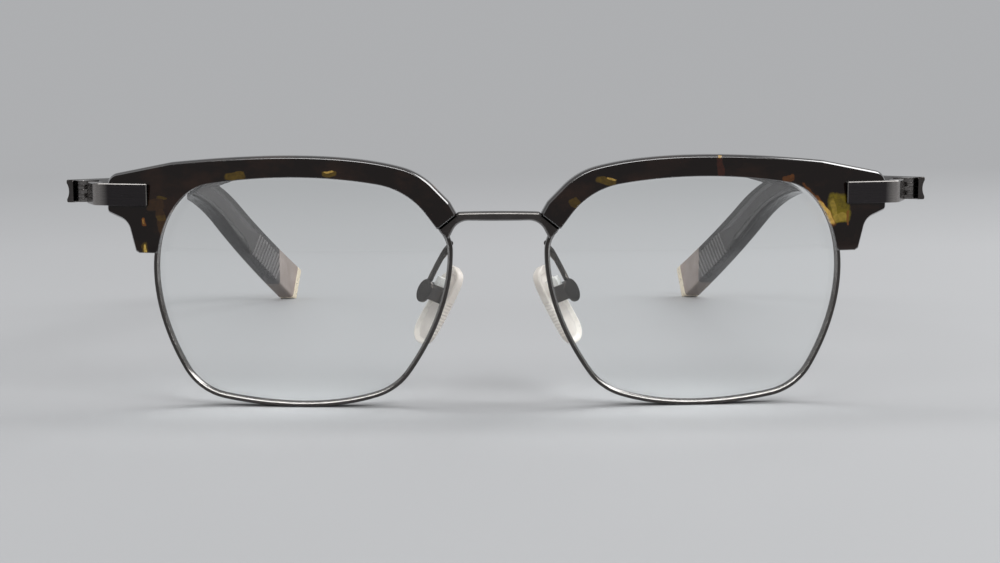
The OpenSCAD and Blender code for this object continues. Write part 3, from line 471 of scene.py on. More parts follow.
class Nodes:
    """Short calls for one material's nodes."""

    def __init__(self, name):
        self.material = bpy.data.materials.new(name)
        self.material.use_nodes = True
        self.tree = self.material.node_tree
        self.shader = self.tree.nodes["Principled BSDF"]

    def set(self, **values):
        for key, value in values.items():
            self.shader.inputs[key.replace("_", " ")].default_value = value
        return self

    def add(self, kind, inputs=(), **props):
        node = self.tree.nodes.new(kind)
        for key, value in props.items():
            setattr(node, key, value)
        for key, value in dict(inputs).items():
            if isinstance(value, bpy.types.NodeSocket):
                self.tree.links.new(value, node.inputs[key])
            else:
                node.inputs[key].default_value = value
        return node

    def link(self, socket, name):
        self.tree.links.new(socket, self.shader.inputs[name])

    def place(self):
        return self.add("ShaderNodeTexCoord").outputs["Object"]

    def stretched(self, scale):
        return self.add("ShaderNodeMapping", {"Vector": self.place(), "Scale": scale}).outputs["Vector"]

    def noise(self, vector, scale, detail=3.0, rough=0.5):
        return self.add("ShaderNodeTexNoise", {
            "Vector": vector, "Scale": scale, "Detail": detail, "Roughness": rough}).outputs["Fac"]

    def spread(self, value, a, b, c, d):
        return self.add("ShaderNodeMapRange", {
            "Value": value, "From Min": a, "From Max": b, "To Min": c, "To Max": d}).outputs["Result"]

    def normal(self):
        return self.add("ShaderNodeTexCoord").outputs["Normal"]

    def axis(self, vector, letter):
        return self.add("ShaderNodeSeparateXYZ", {0: vector}).outputs[letter]

    def math(self, op, a, b=0.0):
        return self.add("ShaderNodeMath", {0: a, 1: b}, operation=op).outputs[0]

    def vector(self, op, a, b=(0, 0, 0), out="Vector"):
        return self.add("ShaderNodeVectorMath", {0: a, 1: b}, operation=op).outputs[out]

    def blend(self, fac, a, b):
        node = self.tree.nodes.new("ShaderNodeMix")
        node.data_type = "RGBA"
        sockets = [s for s in node.inputs if s.enabled]
        for socket, value in zip(sockets, (fac, a, b)):
            if isinstance(value, bpy.types.NodeSocket):
                self.tree.links.new(value, socket)
            else:
                socket.default_value = value
        return [s for s in node.outputs if s.enabled][0]

    def show(self, socket):
        self.tree.links.new(socket, self.tree.nodes["Material Output"].inputs["Surface"])

    def let_light_in(self, tint):
        """Lets lamps light what lies inside or behind, tinted."""
        clear = self.add("ShaderNodeBsdfTransparent", {"Color": tint})
        shadow = self.add("ShaderNodeLightPath").outputs["Is Shadow Ray"]
        both = self.add("ShaderNodeMixShader", {0: shadow, 1: self.shader.outputs[0], 2: clear.outputs[0]})
        self.show(both.outputs[0])

    def bump(self, height, strength, distance):
        node = self.add("ShaderNodeBump", {"Height": height, "Strength": strength, "Distance": distance})
        self.link(node.outputs["Normal"], "Normal")


def metal(name, color, dark, rough, bump=0.06, metallic=1.0):
    """Fine-grained metal that drifts between two tones."""
    m = Nodes(name).set(Metallic=metallic)
    soft = m.noise(m.place(), 260.0, 4.0)
    fine = m.noise(m.stretched((900, 900, 900)), 1.0, 3.0)
    m.link(m.blend(m.spread(soft, 0.3, 0.7, 0.0, 1.0), (*dark, 1), (*color, 1)), "Base Color")
    m.link(m.spread(fine, 0.3, 0.7, rough - 0.06, rough + 0.06), "Roughness")
    m.bump(fine, bump, 0.00003)
    return m.material


gunmetal = metal("gunmetal", (0.085, 0.078, 0.075), (0.068, 0.062, 0.06), 0.2)
polished = metal("polished_edge", (0.32, 0.305, 0.295), (0.27, 0.258, 0.25), 0.18)
# A lighter metal for the bridge's and end piece's top bevels: a painted highlight.
painted_glint_metal = metal("painted_glint_metal", (0.22, 0.21, 0.2), (0.17, 0.162, 0.155), 0.18)
box_metal = metal("box_metal", (0.09, 0.08, 0.074), (0.055, 0.048, 0.044), 0.2)
hinge_steel = metal("hinge_steel", (0.2, 0.19, 0.185), (0.14, 0.132, 0.128), 0.26)
screw_metal = metal("screw_steel", (0.4, 0.385, 0.37), (0.32, 0.31, 0.3), 0.2)
gold = metal("gold_plate", (0.98, 0.89, 0.72), (0.95, 0.82, 0.62), 0.3, 0.1, 0.45)


# How far outside the opening the end piece's lighter bend begins: a painted highlight for the glint round its
# bend
BEND_GLINT_OUT = 9.7


def plate_metal():
    """Dark metal brushed along its length, with a painted highlight in a lighter tone round the bend."""
    m = Nodes("brushed_plate").set(Metallic=1.0)
    streak = m.noise(m.stretched((60, 60, 9000)), 1.0, 3.0)
    dark = m.blend(streak, (0.034, 0.031, 0.033, 1), (0.052, 0.047, 0.049, 1))
    pale = m.blend(streak, (0.24, 0.226, 0.218, 1), (0.32, 0.302, 0.292, 1))
    x = m.math("ABSOLUTE", m.axis(m.place(), "X"))
    bend = (SIDE_X + BEND_GLINT_OUT) * MM
    # Past the bend's start the lighter tone takes over as a painted highlight.
    m.link(m.blend(m.spread(x, bend - MM, bend + 0.6 * MM, 0.0, 1.0), dark, pale), "Base Color")
    m.link(m.spread(streak, 0.3, 0.7, 0.2, 0.3), "Roughness")
    m.bump(streak, 0.14, 0.00003)
    return m.material


def core_steel():
    """Bright blade with pale raised ribs, and painted shade in near-black on its narrow edges."""
    m = Nodes("core_metal")
    low, top = tip_edges()
    end = (low[-1] + top[-1]) / 2
    way = unit((low[-2] + top[-2]) / 2 - end)
    first = end + way * RIB_END
    first = (0, (first[0] - MID_Y) * MM, first[1] * MM)
    offset = m.vector("SUBTRACT", m.place(), first)
    along = m.vector("DOT_PRODUCT", offset, (0, *(way / MM)), "Value")
    wave = m.math("PINGPONG", m.math("SUBTRACT", along, RIB_W / 2), RIB_PITCH / 2)
    rib = m.spread(wave, RIB_PITCH * 0.2, RIB_PITCH * 0.32, 1.0, 0.0)
    start = m.spread(along, -0.05, 0.0, 0.0, 1.0)
    last = RIB_PITCH * (RIB_COUNT - 1) + RIB_W
    stop = m.spread(along, last, last + 0.05, 1.0, 0.0)
    zone = m.math("MULTIPLY", start, stop)
    plain = m.blend(m.noise(m.place(), 260.0, 3.0), (0.26, 0.25, 0.245, 1), (0.34, 0.328, 0.32, 1))
    lines = m.blend(rib, (0.36, 0.345, 0.35, 1), (1.0, 0.99, 1.0, 1))
    # The narrow edges take a near-black: painted shade.
    broad = m.spread(m.math("ABSOLUTE", m.axis(m.normal(), "X")), 0.55, 0.75, 0.0, 1.0)
    m.link(m.blend(broad, (0.05, 0.047, 0.047, 1), m.blend(zone, plain, lines)), "Base Color")
    m.link(m.spread(m.math("MULTIPLY", zone, rib), 0.0, 1.0, 0.9, 0.15), "Metallic")
    m.link(m.spread(m.noise(m.place(), 900.0), 0.3, 0.7, 0.3, 0.36), "Roughness")
    return m.material


def lens_glass():
    """Clear glass that lets lamps light what lies behind it."""
    m = Nodes("clear_lens")
    m.set(Base_Color=(0.97, 0.985, 0.985, 1), Roughness=0.0, IOR=1.5, Transmission_Weight=1.0)
    haze = m.noise(m.place(), 30.0, 2.0)
    m.link(m.spread(haze, 0.3, 0.7, 0.0, 0.012), "Roughness")
    m.let_light_in((0.93, 0.945, 0.945, 1))
    return m.material


def silicone(name, dark, pale):
    """Frosted, a little see-through, between two tones."""
    m = Nodes(name).set(IOR=1.42, Transmission_Weight=0.1)
    m.set(Subsurface_Weight=0.12, Subsurface_Radius=(0.0008, 0.0008, 0.0007))
    fine = m.noise(m.place(), 2600.0, 4.0)
    tone = m.noise(m.place(), 300.0, 3.0)
    m.link(m.spread(fine, 0.3, 0.7, 0.3, 0.42), "Roughness")
    m.link(m.blend(m.spread(tone, 0.3, 0.7, 0, 1), (*dark, 1), (*pale, 1)), "Base Color")
    m.bump(fine, 0.2, 0.00004)
    return m.material


def pad_plastic():
    """The white insert that shows through the pad."""
    m = Nodes("white_insert").set(Roughness=0.35)
    tone = m.noise(m.place(), 500.0, 3.0)
    m.link(m.blend(tone, (0.93, 0.925, 0.9, 1), (0.98, 0.975, 0.95, 1)), "Base Color")
    m.link(m.spread(tone, 0.3, 0.7, 0.3, 0.42), "Roughness")
    return m.material


# The warm block at the tip's end: its length and how far its start blurs
BLOCK_L = 6.7
BLOCK_BLUR = 0.4


def smoky_acetate():
    """Clear smoke over the core, with a cloudier warm block at the end and painted shade on its underside."""
    m = Nodes("smoky_acetate").set(IOR=1.49)
    block_y = (HINGE[1] + TEMPLE_L - BLOCK_L - MID_Y) * MM
    warm = m.spread(m.axis(m.place(), "Y"), block_y - BLOCK_BLUR * MM, block_y, 0.0, 1.0)
    swirl = m.noise(m.stretched((40, 25, 60)), 2.0, 3.0, 0.5)
    grey = m.blend(swirl, (0.38, 0.37, 0.374, 1), (0.5, 0.488, 0.488, 1))
    # Faces that look down get a darker tint: painted shade on the underside.
    under = m.spread(m.axis(m.normal(), "Z"), -0.3, -0.6, 0.0, 1.0)
    grey = m.blend(under, grey, (0.26, 0.25, 0.26, 1))
    cloud = m.spread(m.noise(m.stretched((60, 50, 40)), 5.0, 3.0, 0.55), 0.35, 0.65, 0.0, 1.0)
    block = m.blend(cloud, (0.55, 0.455, 0.41, 1), (0.72, 0.615, 0.565, 1))
    tint = m.blend(warm, grey, m.blend(under, block, (0.3, 0.235, 0.2, 1)))
    m.link(tint, "Base Color")
    m.link(m.spread(warm, 0.0, 1.0, 0.86, 0.5), "Transmission Weight")
    m.link(m.spread(swirl, 0.3, 0.7, 0.09, 0.13), "Roughness")
    m.let_light_in(m.blend(warm, (0.5, 0.49, 0.48, 1), (0.6, 0.52, 0.48, 1)))
    smoke = m.add("ShaderNodeVolumeAbsorption", {"Color": (0.06, 0.03, 0.04, 1), "Density": SMOKE})
    m.tree.links.new(smoke.outputs[0], m.tree.nodes["Material Output"].inputs["Volume"])
    return m.material


# How far, in metres, noise moves the edges of the patches in the tortoise
WARP = 0.0012

# Patches of light colour in the tortoise: x, z, half width, half height, slant, colour, strength
YELLOW = (0.105, 0.064, 0.006)
OLIVE = (0.15, 0.112, 0.004)
ORANGE = (0.17, 0.056, 0.01)
BRIGHT = (0.62, 0.42, 0.09)
CREAM = (0.6, 0.38, 0.09)
RED = (0.045, 0.012, 0.007)
FAINT = (0.05, 0.023, 0.007)
PATCHES = {
    -1: [
        (-44.6, 39.95, 1.75, 0.6, 4, YELLOW, 0.85),
        (-28.6, 40.35, 1.2, 0.55, 0, YELLOW, 0.9),
        (-28.6, 40.75, 0.8, 0.16, 0, CREAM, 0.8),
        (-57.6, 36.1, 0.95, 0.22, 0, YELLOW, 0.6),
        (-57.4, 31.6, 0.8, 2.6, 14, FAINT, 0.8),
        (-57.7, 32.8, 0.8, 0.5, 10, YELLOW, 0.4),
        (-58.6, 35.0, 1.6, 1.0, 0, FAINT, 0.6),
        (-60.7, 32.0, 0.3, 0.65, 0, ORANGE, 1.0),
        (-60.7, 32.0, 0.12, 0.35, 0, CREAM, 0.5),
        (-60.7, 27.2, 0.5, 1.3, 0, YELLOW, 0.7),
        (-60.7, 27.2, 0.22, 0.95, 0, BRIGHT, 1.0),
        (-60.0, 26.2, 1.0, 0.3, -25, YELLOW, 0.9),
        (-10.6, 38.2, 0.9, 0.35, -42, ORANGE, 0.8),
    ],
    1: [
        (18.2, 39.0, 1.6, 0.7, -12, YELLOW, 0.85),
        (19.0, 39.5, 0.8, 0.16, -12, CREAM, 0.7),
        (12.9, 35.4, 0.8, 0.9, 30, YELLOW, 0.6),
        (37.6, 41.4, 0.55, 2.0, 4, RED, 0.9),
        (37.5, 43.1, 0.3, 0.28, 0, CREAM, 0.9),
        (49.6, 39.2, 1.0, 0.6, 0, ORANGE, 0.55),
        (53.7, 36.7, 2.4, 0.2, -42, ORANGE, 0.5),
        (58.6, 34.2, 2.0, 2.3, 0, OLIVE, 1.0),
        (59.1, 32.5, 1.7, 1.1, 0, OLIVE, 1.0),
        (58.8, 32.3, 1.3, 0.7, 0, BRIGHT, 0.3),
        (57.6, 34.0, 0.5, 1.6, 10, BRIGHT, 0.25),
        (60.3, 32.2, 0.25, 1.3, 0, ORANGE, 0.8),
        (56.0, 33.6, 0.6, 3.0, 34, ORANGE, 1.0),
        (56.3, 33.4, 0.38, 2.4, 34, CREAM, 1.0),
    ],
}


def tortoise(side, edge=False):
    """Dark acetate with one side's patches, glossier on the brow's bright edge line."""
    m = Nodes(("tortoise_edge" if edge else "tortoise") + ("_left" if side < 0 else "_right"))
    m.set(IOR=1.49)
    if edge:
        m.set(Coat_Weight=1.0, Coat_IOR=2.2, Coat_Roughness=0.08)
    spot = m.place()
    warp = m.add("ShaderNodeTexNoise", {"Vector": spot, "Scale": 520.0, "Detail": 3.0}).outputs["Color"]
    shift = m.vector("SUBTRACT", warp, (0.5, 0.5, 0.5))
    moved = m.vector("ADD", spot, m.vector("MULTIPLY", shift, (WARP, WARP, WARP)))
    cloud = m.noise(m.stretched((60, 60, 90)), 2.2, 5.0, 0.6)
    color = m.blend(m.spread(cloud, 0.48, 0.75, 0, 1), (0.0055, 0.0027, 0.0023, 1), (0.024, 0.01, 0.0058, 1))
    speck = m.spread(m.noise(spot, 1500.0, 3.0, 0.6), 0.35, 0.6, 0.6, 1.0)
    for x, z, half_x, half_z, slant, paint, strength in PATCHES[side]:
        shifted = m.vector("SUBTRACT", moved, (x * MM, 0, z * MM))
        turned = m.add("ShaderNodeVectorRotate", {
            "Vector": shifted, "Axis": (0, 1, 0), "Angle": math.radians(slant)}).outputs[0]
        scaled = m.vector("MULTIPLY", turned, (1 / half_x / MM, 0, 1 / half_z / MM))
        far = m.vector("LENGTH", m.vector("MULTIPLY", scaled, scaled), out="Value")
        near = m.math("MULTIPLY", m.spread(far, 1.2, 0.8, 0.0, strength), speck)
        color = m.blend(near, color, (*paint, 1))
    m.link(color, "Base Color")
    m.link(m.spread(cloud, 0.3, 0.7, 0.05, 0.09), "Roughness")
    m.bump(m.noise(spot, 700.0, 2.0), 0.02, 0.00003)
    return m.material


glass = lens_glass()
frosted = silicone("frosted_silicone", (0.89, 0.825, 0.76), (0.97, 0.915, 0.85))
# The recess floor's darker silicone is painted shade.
recess_shade_silicone = silicone("silicone_recess_shade", (0.7, 0.645, 0.6), (0.84, 0.785, 0.735))
white_insert = pad_plastic()
smoky = smoky_acetate()

# Pieces of the front

# Mesh steps along outlines, and pitches across faces
OPENING_STEP = 0.5
BROW_STEP = 0.45
BROW_PITCH = 0.9
RIM_STEP = 0.4
BRIDGE_STEP = 0.3
BRIDGE_PITCH = 0.45
LENS_STEP = 0.6
LENS_PITCH = 2.0
PAD_STEP = 0.14
PAD_PITCH = 0.5

# The brow's outer edge: insets, and how far each lies behind the face
SHOULDER_AT = [0, 0.24, 0.42]
SHOULDER_D = [1.1, 0.28, 0]

# The finer edge all round the brow's face, and the round along its back
FINE_AT = 0.12
FINE_D = 0.1
BROW_ROUND = 0.45

# Depths between which a face of the brow belongs to its bright edge line
LINE_FROM = 0.05
LINE_TO = SHOULDER_D[1] + 0.03

# How far the brow's two halves lap
HALVES_LAP = 0.01

# The rim's section: distance from the opening and depth, with the polished slope first
RIM_SHAPE = [
    (0, 0.55), (0.33, 0), (0.7, 0), (0.84, 0.06), (RIM_W, 0.2), (RIM_W, RIM_D - 0.22), (0.83, RIM_D - 0.05),
    (0.68, RIM_D), (0.22, RIM_D), (0.07, RIM_D - 0.05), (0, RIM_D - 0.2)]

# Depths of the lens's faces behind the rim's front, and its edge
LENS_FRONT = 0.7
LENS_BACK = LENS_FRONT + LENS_T
LENS_ROUND = 0.05

# The bridge's front edge as insets and depths, its back edge, and the way its top bevel faces; the faces that
# look that way take a lighter metal as a painted highlight
BRIDGE_BEVEL = [(0, 1.0), (0.24, 0.2), (0.38, 0)]
BRIDGE_ROUND = 0.2
GLINT_WAY = (0, -0.57, 0.82)

# Length over which the bridge's back swells from its ends to its full depth
SWELL_L = 1.2

# The end piece's front and back bevels, its size as shares at the hinge, and points round its bend
PLATE_BEVEL = 0.13
PLATE_EDGE = 0.1
PLATE_TAPER = [0.86, 0.95]
PLATE_POINTS = 16


def curved_plate(loop, p0, p1, r_front, r_back, pitch):
    """A plate that follows the front's curve, from depth p0 to depth p1."""
    return plate(
        loop,
        lambda q: front_y(q[:, 0], q[:, 1], p0),
        lambda q: front_y(q[:, 0], q[:, 1], p1),
        r_front, r_back, pitch)


def join(*parts):
    """Several meshes as one."""
    verts, faces, count = [], [], 0
    for v, f in parts:
        verts.append(v)
        faces += [[i + count for i in face] for face in f]
        count += len(v)
    return np.vstack(verts), faces


def build_brow():
    """The brow in a front and a back half, and the faces of its bright edge line."""
    face = refine(brow_loop(refine(opening, OPENING_STEP)), BROW_STEP)
    behind = refine(brow_loop(refine(grow(opening, RIM_W + BROW_GAP), OPENING_STEP)), BROW_STEP)
    outer = outline(brow_corners)[:-2]
    # There and back, so that no closing side of its own runs along the lens
    outer = np.vstack([outer, outer[::-1]])

    def front(q):
        fall = np.interp(edge_distance(q, outer), SHOULDER_AT, SHOULDER_D)
        return front_y(q[:, 0], q[:, 1], -BROW_FRONT) + fall

    def back(q):
        return front_y(q[:, 0], q[:, 1], -BROW_GAP)

    fine = [(0, FINE_D), (FINE_AT, 0)] + [(at, 0) for at in SHOULDER_AT[1:]]
    verts, faces = plate(face, front, back, fine, 0, BROW_PITCH)
    deep = verts[:, 1] - front_y(verts[:, 0], verts[:, 2], -BROW_FRONT)
    line = [i for i, f in enumerate(faces) if LINE_FROM < max(deep[k] for k in f) < LINE_TO]
    back_half = curved_plate(behind, -BROW_GAP - HALVES_LAP, BROW_BACK, 0, BROW_ROUND, BROW_PITCH)
    return *join((verts, faces), back_half), line


def build_rim():
    """The rim as one closed loft, and the faces of its polished slope."""
    loop = refine(opening, RIM_STEP)
    start = crossings(loop, (WRAP_X, LOCK_Z), (1, 0))[-1]
    loop = np.vstack([[start[2]], np.roll(loop, -start[1] - 1, 0)])
    out = normals_out(loop)
    profile = np.array(RIM_SHAPE)
    rings = []
    for q, n in zip(loop, out):
        x = q[0] + n[0] * profile[:, 0]
        z = q[1] + n[1] * profile[:, 0]
        rings.append(np.stack([x, front_y(q[0], q[1], 0) + profile[:, 1], np.maximum(z, 0)], 1))
    return *loft(rings, around=True), [i * len(profile) for i in range(len(rings))]


def build_bridge():
    """The bridge, and the faces of the bevel along its top, which take a lighter metal as a painted
    highlight.
    """
    band_z = CUT_Z - 2 * BROW_GAP - BAND_L * tan(CUT_A)
    half = [
        (BRIDGE_HALF, CUT_Z + BRIDGE_RISE, 0.5),
        (CUT_X + BAND_L + BROW_GAP, band_z, 0),
        (CUT_X + BAND_L - BAND_IN, band_z - BAND_W * 0.7, 0),
        (CUT_X + TAIL_OUT, band_z - TAIL_L, 2 * BROW_GAP),
        (CUT_X - BAND_W / 5, CUT_Z - BAND_W * 1.15, SWEEP_R),
    ]
    top = (0, CUT_Z + BRIDGE_RISE + 0.2, CROWN)
    under = (0, CUT_Z + BRIDGE_RISE + 0.1 - BRIDGE_H, CROWN)
    corners = [top] + half + [under] + [(-x, z, r) for x, z, r in reversed(half)]
    loop = refine(outline(corners), BRIDGE_STEP)
    join_x = CUT_X + 0.1
    bar_y = float(front_y(join_x, CUT_Z, -BRIDGE_FRONT))

    def front(q):
        x = np.abs(q[:, 0])
        return np.where(x < join_x, bar_y, front_y(x, q[:, 1], -BRIDGE_FRONT))

    def back(q):
        x = np.abs(q[:, 0])
        t = np.clip((join_x - x) / SWELL_L, 0, 1)
        foot = np.where(x < join_x, bar_y + BRIDGE_FRONT - SEAT, front_y(x, q[:, 1], -SEAT))
        return foot + (bar_y + BRIDGE_D - foot) * t * t * (3 - 2 * t)

    verts, faces = plate(loop, front, back, BRIDGE_BEVEL, BRIDGE_ROUND, BRIDGE_PITCH)
    return verts, faces, facing(verts, faces, GLINT_WAY)


def facing(verts, faces, way, least=0.93):
    """Faces whose plane looks along a way or against it."""
    way = unit(way)
    found = []
    for i, face in enumerate(faces):
        a, b, c = (np.asarray(verts[k]) for k in face[:3])
        n = np.cross(b - a, c - a)
        size = np.linalg.norm(n)
        if size > 1e-9 and abs(n @ way) > least * size:
            found.append(i)
    return found


def build_lens():
    """The lens, whose edge sits in the rim's groove."""
    loop = refine(grow(opening, GROOVE_D - LENS_GAP), LENS_STEP)
    return curved_plate(loop, LENS_FRONT, LENS_BACK, LENS_ROUND, LENS_ROUND, LENS_PITCH)


def plate_plan():
    """The end piece's outer line seen from above, its inward normals, its directions and its height."""
    x0 = SIDE_X + PLATE_OUT
    z = TOP_Z - PLATE_DROP
    y0 = float(front_y(x0, z, -BROW_FRONT)) - PLATE_PROUD
    x1 = SIDE_X + BROW_REACH
    a = math.degrees(math.atan2(float(front_y(x1, z, -BROW_FRONT)) - PLATE_PROUD - y0, x1 - x0))
    start = np.array([x0, y0])
    bend = start + PLATE_L * np.array([cos(a), sin(a)])
    way = np.array([sin(RETURN_A), cos(RETURN_A)])
    end = bend + RETURN_L * way
    half = math.degrees(math.acos(np.array([cos(a), sin(a)]) @ way)) / 2
    r = BEND_R * tan(half)
    arc = conic(bend + unit(start - bend) * r, bend, bend + way * r, PLATE_POINTS)
    line = np.vstack([[start], arc, [end]])
    t = np.gradient(line, axis=0)
    t[0], t[-1] = line[1] - line[0], line[-1] - line[-2]
    t /= np.linalg.norm(t, axis=1)[:, None]
    return line, np.stack([-t[:, 1], t[:, 0]], 1), t, z


def build_end_piece():
    """The bent plate, and the faces of its top bevel and inner end, which take a lighter metal as a painted
    highlight.
    """
    line, inward, way, z = plate_plan()
    h, t, c, e = PLATE_H, PLATE_T, PLATE_BEVEL, PLATE_EDGE
    profile = np.array([
        [0, -h / 2 + c], [0, h / 2 - c], [1.5 * c, h / 2], [t - e, h / 2], [t, h / 2 - e],
        [t, -h / 2 + e], [t - e, -h / 2], [c, -h / 2]])
    rings = [(q, n, profile) for q, n in zip(line, inward)]
    slim = [t, 0] + (profile - [t, 0]) * [1 - c / t, 1 - c / (h / 2)]
    rings = [(line[0], inward[0], slim), (line[0] + way[0] * c, inward[0], profile)] + rings[1:]
    small = [t / 2, 0] + (profile - [t / 2, 0]) * PLATE_TAPER
    rings = rings[:-1] + [(line[-1] - way[-1] * e, inward[-1], profile), (line[-1], inward[-1], small)]
    made = [[[q[0] + n[0] * u, q[1] + n[1] * u, z + v] for u, v in shape] for q, n, shape in rings]
    sides = len(profile)
    # The inner end and the top bevel, not the bottom one, get the painted highlight.
    plate_glint_faces = [i * sides + k for i in range(len(made) - 1) for k in range(sides) if i == 0 or k == 1]
    return *loft(made), plate_glint_faces


# Temple pieces

# The bar's edges, and its size near its front end as distance from the hinge and share
BAR_EDGE = 0.16
BAR_RINGS = [
    (-POST_L, 0.9), (-POST_L + 0.12, 0.985), (-POST_L + 0.3, 1.0), (10, 1), (30, 1), (50, 1), (SLEEVE_AT, 1)]

# Points across the bar's channel
CHANNEL_POINTS = 13

# Points along the straight of the tip and round its bend, the round of its edges, and its mouth's shares
TIP_POINTS = 24
BEND_POINTS = 16
TIP_ROUND = 0.75
MOUTH = (0.86, 0.96, 1.0)

# The cap's rings: distance from the end face and share of its size
CAP_RINGS = [(CAP_T, 0.97), (CAP_T - 0.12, 1.0), (0.3, 1.0), (0.1, 0.985), (0.0, 0.95)]


def temple_x(y):
    """How far from the middle the temple runs at y, with its inward bow."""
    bow_y = HINGE[1] + TEMPLE_L - BOW_L
    turn = BOW_IN * np.power(np.maximum(np.asarray(y, float) - bow_y, 0) / BOW_L, BOW_POWER)
    return BAR_X - (y - HINGE[1]) * tan(BAR_LEAN) - turn


def bar_z(y):
    """The height of the bar's middle at y."""
    return HINGE[2] - (y - HINGE[1]) * tan(BAR_FALL)


def build_bar():
    """The bar, with the concave channel along its outer face."""
    t, h, c = BAR_T, BAR_H, BAR_EDGE
    shape = [
        [-t / 2 + c, h / 2], [-t / 2, h / 2 - c], [-t / 2, -h / 2 + c],
        [-t / 2 + c, -h / 2], [t / 2 - c, -h / 2]]
    top = math.degrees(math.asin((h / 2 - c) / CHANNEL_R))
    for a in np.linspace(-top, top, CHANNEL_POINTS):
        x = t / 2 + CHANNEL_R - CHANNEL_D - CHANNEL_R * cos(a)
        shape.append([min(x, t / 2), CHANNEL_R * sin(a)])
    shape.append([t / 2 - c, h / 2])
    rings = []
    for y, k in BAR_RINGS:
        rings.append([
            [BAR_X - y * tan(BAR_LEAN) + k * u, HINGE[1] + y, HINGE[2] - y * tan(BAR_FALL) + k * v]
            for u, v in shape])
    return loft(rings)


def meet(p, a, q, b):
    """Where a line from p that falls by a degrees crosses one through q that falls by b."""
    y = (q[1] - p[1] + q[0] * tan(b) - p[0] * tan(a)) / (tan(b) - tan(a))
    return np.array([y, p[1] - (y - p[0]) * tan(a)])


def tip_edges():
    """The lower and upper edges of the tip seen from the side, as y and z, up to the end face."""
    sleeve_y = HINGE[1] + SLEEVE_AT
    foot = np.array([HINGE[1] + TEMPLE_L, -FOOT_D])
    end_top = foot + np.array([sin(TIP_END_A), cos(TIP_END_A)]) * (TIP_H + FOOT_D)
    low = np.array([sleeve_y, bar_z(sleeve_y) - SLEEVE_H / 2])
    top = np.array([sleeve_y, bar_z(sleeve_y) + SLEEVE_H / 2])
    edges = []
    for start, fall, end, drop in ((low, BAR_FALL, foot, TIP_LOW_A), (top, BAR_FALL, end_top, TIP_TOP_A)):
        ear = meet(start, fall, end, drop)
        bend = conic(ear + unit(start - ear) * EAR_L, ear, ear + unit(end - ear) * EAR_L, BEND_POINTS)
        lead = np.linspace(start, bend[0], TIP_POINTS // 4)[:-1]
        tail = np.linspace(bend[-1], end, TIP_POINTS)[1:]
        edges.append(np.vstack([lead, bend, tail]))
    return edges


def tip_rings(low, top, shares):
    """Rings of the tip between its edges. The first ones take the shares of their size that are listed."""
    rings = []
    for i, (a, b) in enumerate(zip(low, top)):
        h = np.linalg.norm(b - a)
        k = shares[i] if i < len(shares) else 1.0
        section = rounded_box(SLEEVE_T, h, TIP_ROUND, 6) * k
        side = [a + (b - a) * (v / h + 0.5) for v in section[:, 1]]
        rings.append([[float(temple_x(p[0])) + u, p[0], max(p[1], 0.0)] for p, u in zip(side, section[:, 0])])
    return rings


def sleeve_edge(edge):
    """An edge of the tip cut back to its cap, with more points at the sleeve's mouth."""
    end = edge[-1] + unit(edge[-2] - edge[-1]) * (CAP_T + SEAT)
    kept = edge[:-1][np.linalg.norm(edge[:-1] - edge[-1], axis=1) > CAP_T + 0.3]
    first = kept[0]
    step = kept[1] - first
    return np.vstack([[first], [first + step * 0.06], [first + step * 0.2], kept[1:], [end]])


def build_sleeve():
    """The tip from its mouth to its cap."""
    low, top = (sleeve_edge(edge) for edge in tip_edges())
    return loft(tip_rings(low, top, MOUTH))


def build_cap():
    """The cap on the tip's end face."""
    low, top = ([e[-1] + unit(e[-2] - e[-1]) * d for d, _ in CAP_RINGS] for e in tip_edges())
    return loft(tip_rings(low, top, [share for _, share in CAP_RINGS]))


# Nose pad pieces

# The fine ridges down the pad's nose side: pitch, half depth and where they start and stop
RIDGE_PITCH = 0.62
RIDGE_D = 0.09
RIDGE_LOW = -5.4
RIDGE_TOP = 1.2

# The pad's soft edges, and the width of the rim and the slope round its recess
PAD_ROUND = 0.3
PAD_BACK_ROUND = 0.22
RECESS_AT = 0.55
RECESS_SLOPE = 0.35

# The arm: its root under the opening's top, where it meets the box in the pad's frame, its pulls,
# the points along it and the degrees between points round its wire
ARM_DROP = 11.6
ARM_TO = [2.0, 0, DISC_R + SEAT - DISC_DROP]
ARM_PULL_ROOT = [0.1, 3.4, 0]
ARM_PULL_BOX = [-1.2, 1.2, 2.6]
ARM_POINTS = 29
WIRE_TURN = 20


def pad_points(local):
    """Points in the pad's own frame, X out to its arm, Y to the back and Z up along it."""
    p = np.array(local, float).reshape(-1, 3)
    x = p[:, 0] * cos(PAD_SPLAY) + p[:, 1] * sin(PAD_SPLAY)
    y = p[:, 1] * cos(PAD_SPLAY) - p[:, 0] * sin(PAD_SPLAY)
    z = p[:, 2]
    return np.stack([
        x * cos(PAD_TILT) - z * sin(PAD_TILT), y, z * cos(PAD_TILT) + x * sin(PAD_TILT)], 1) + PAD_AT


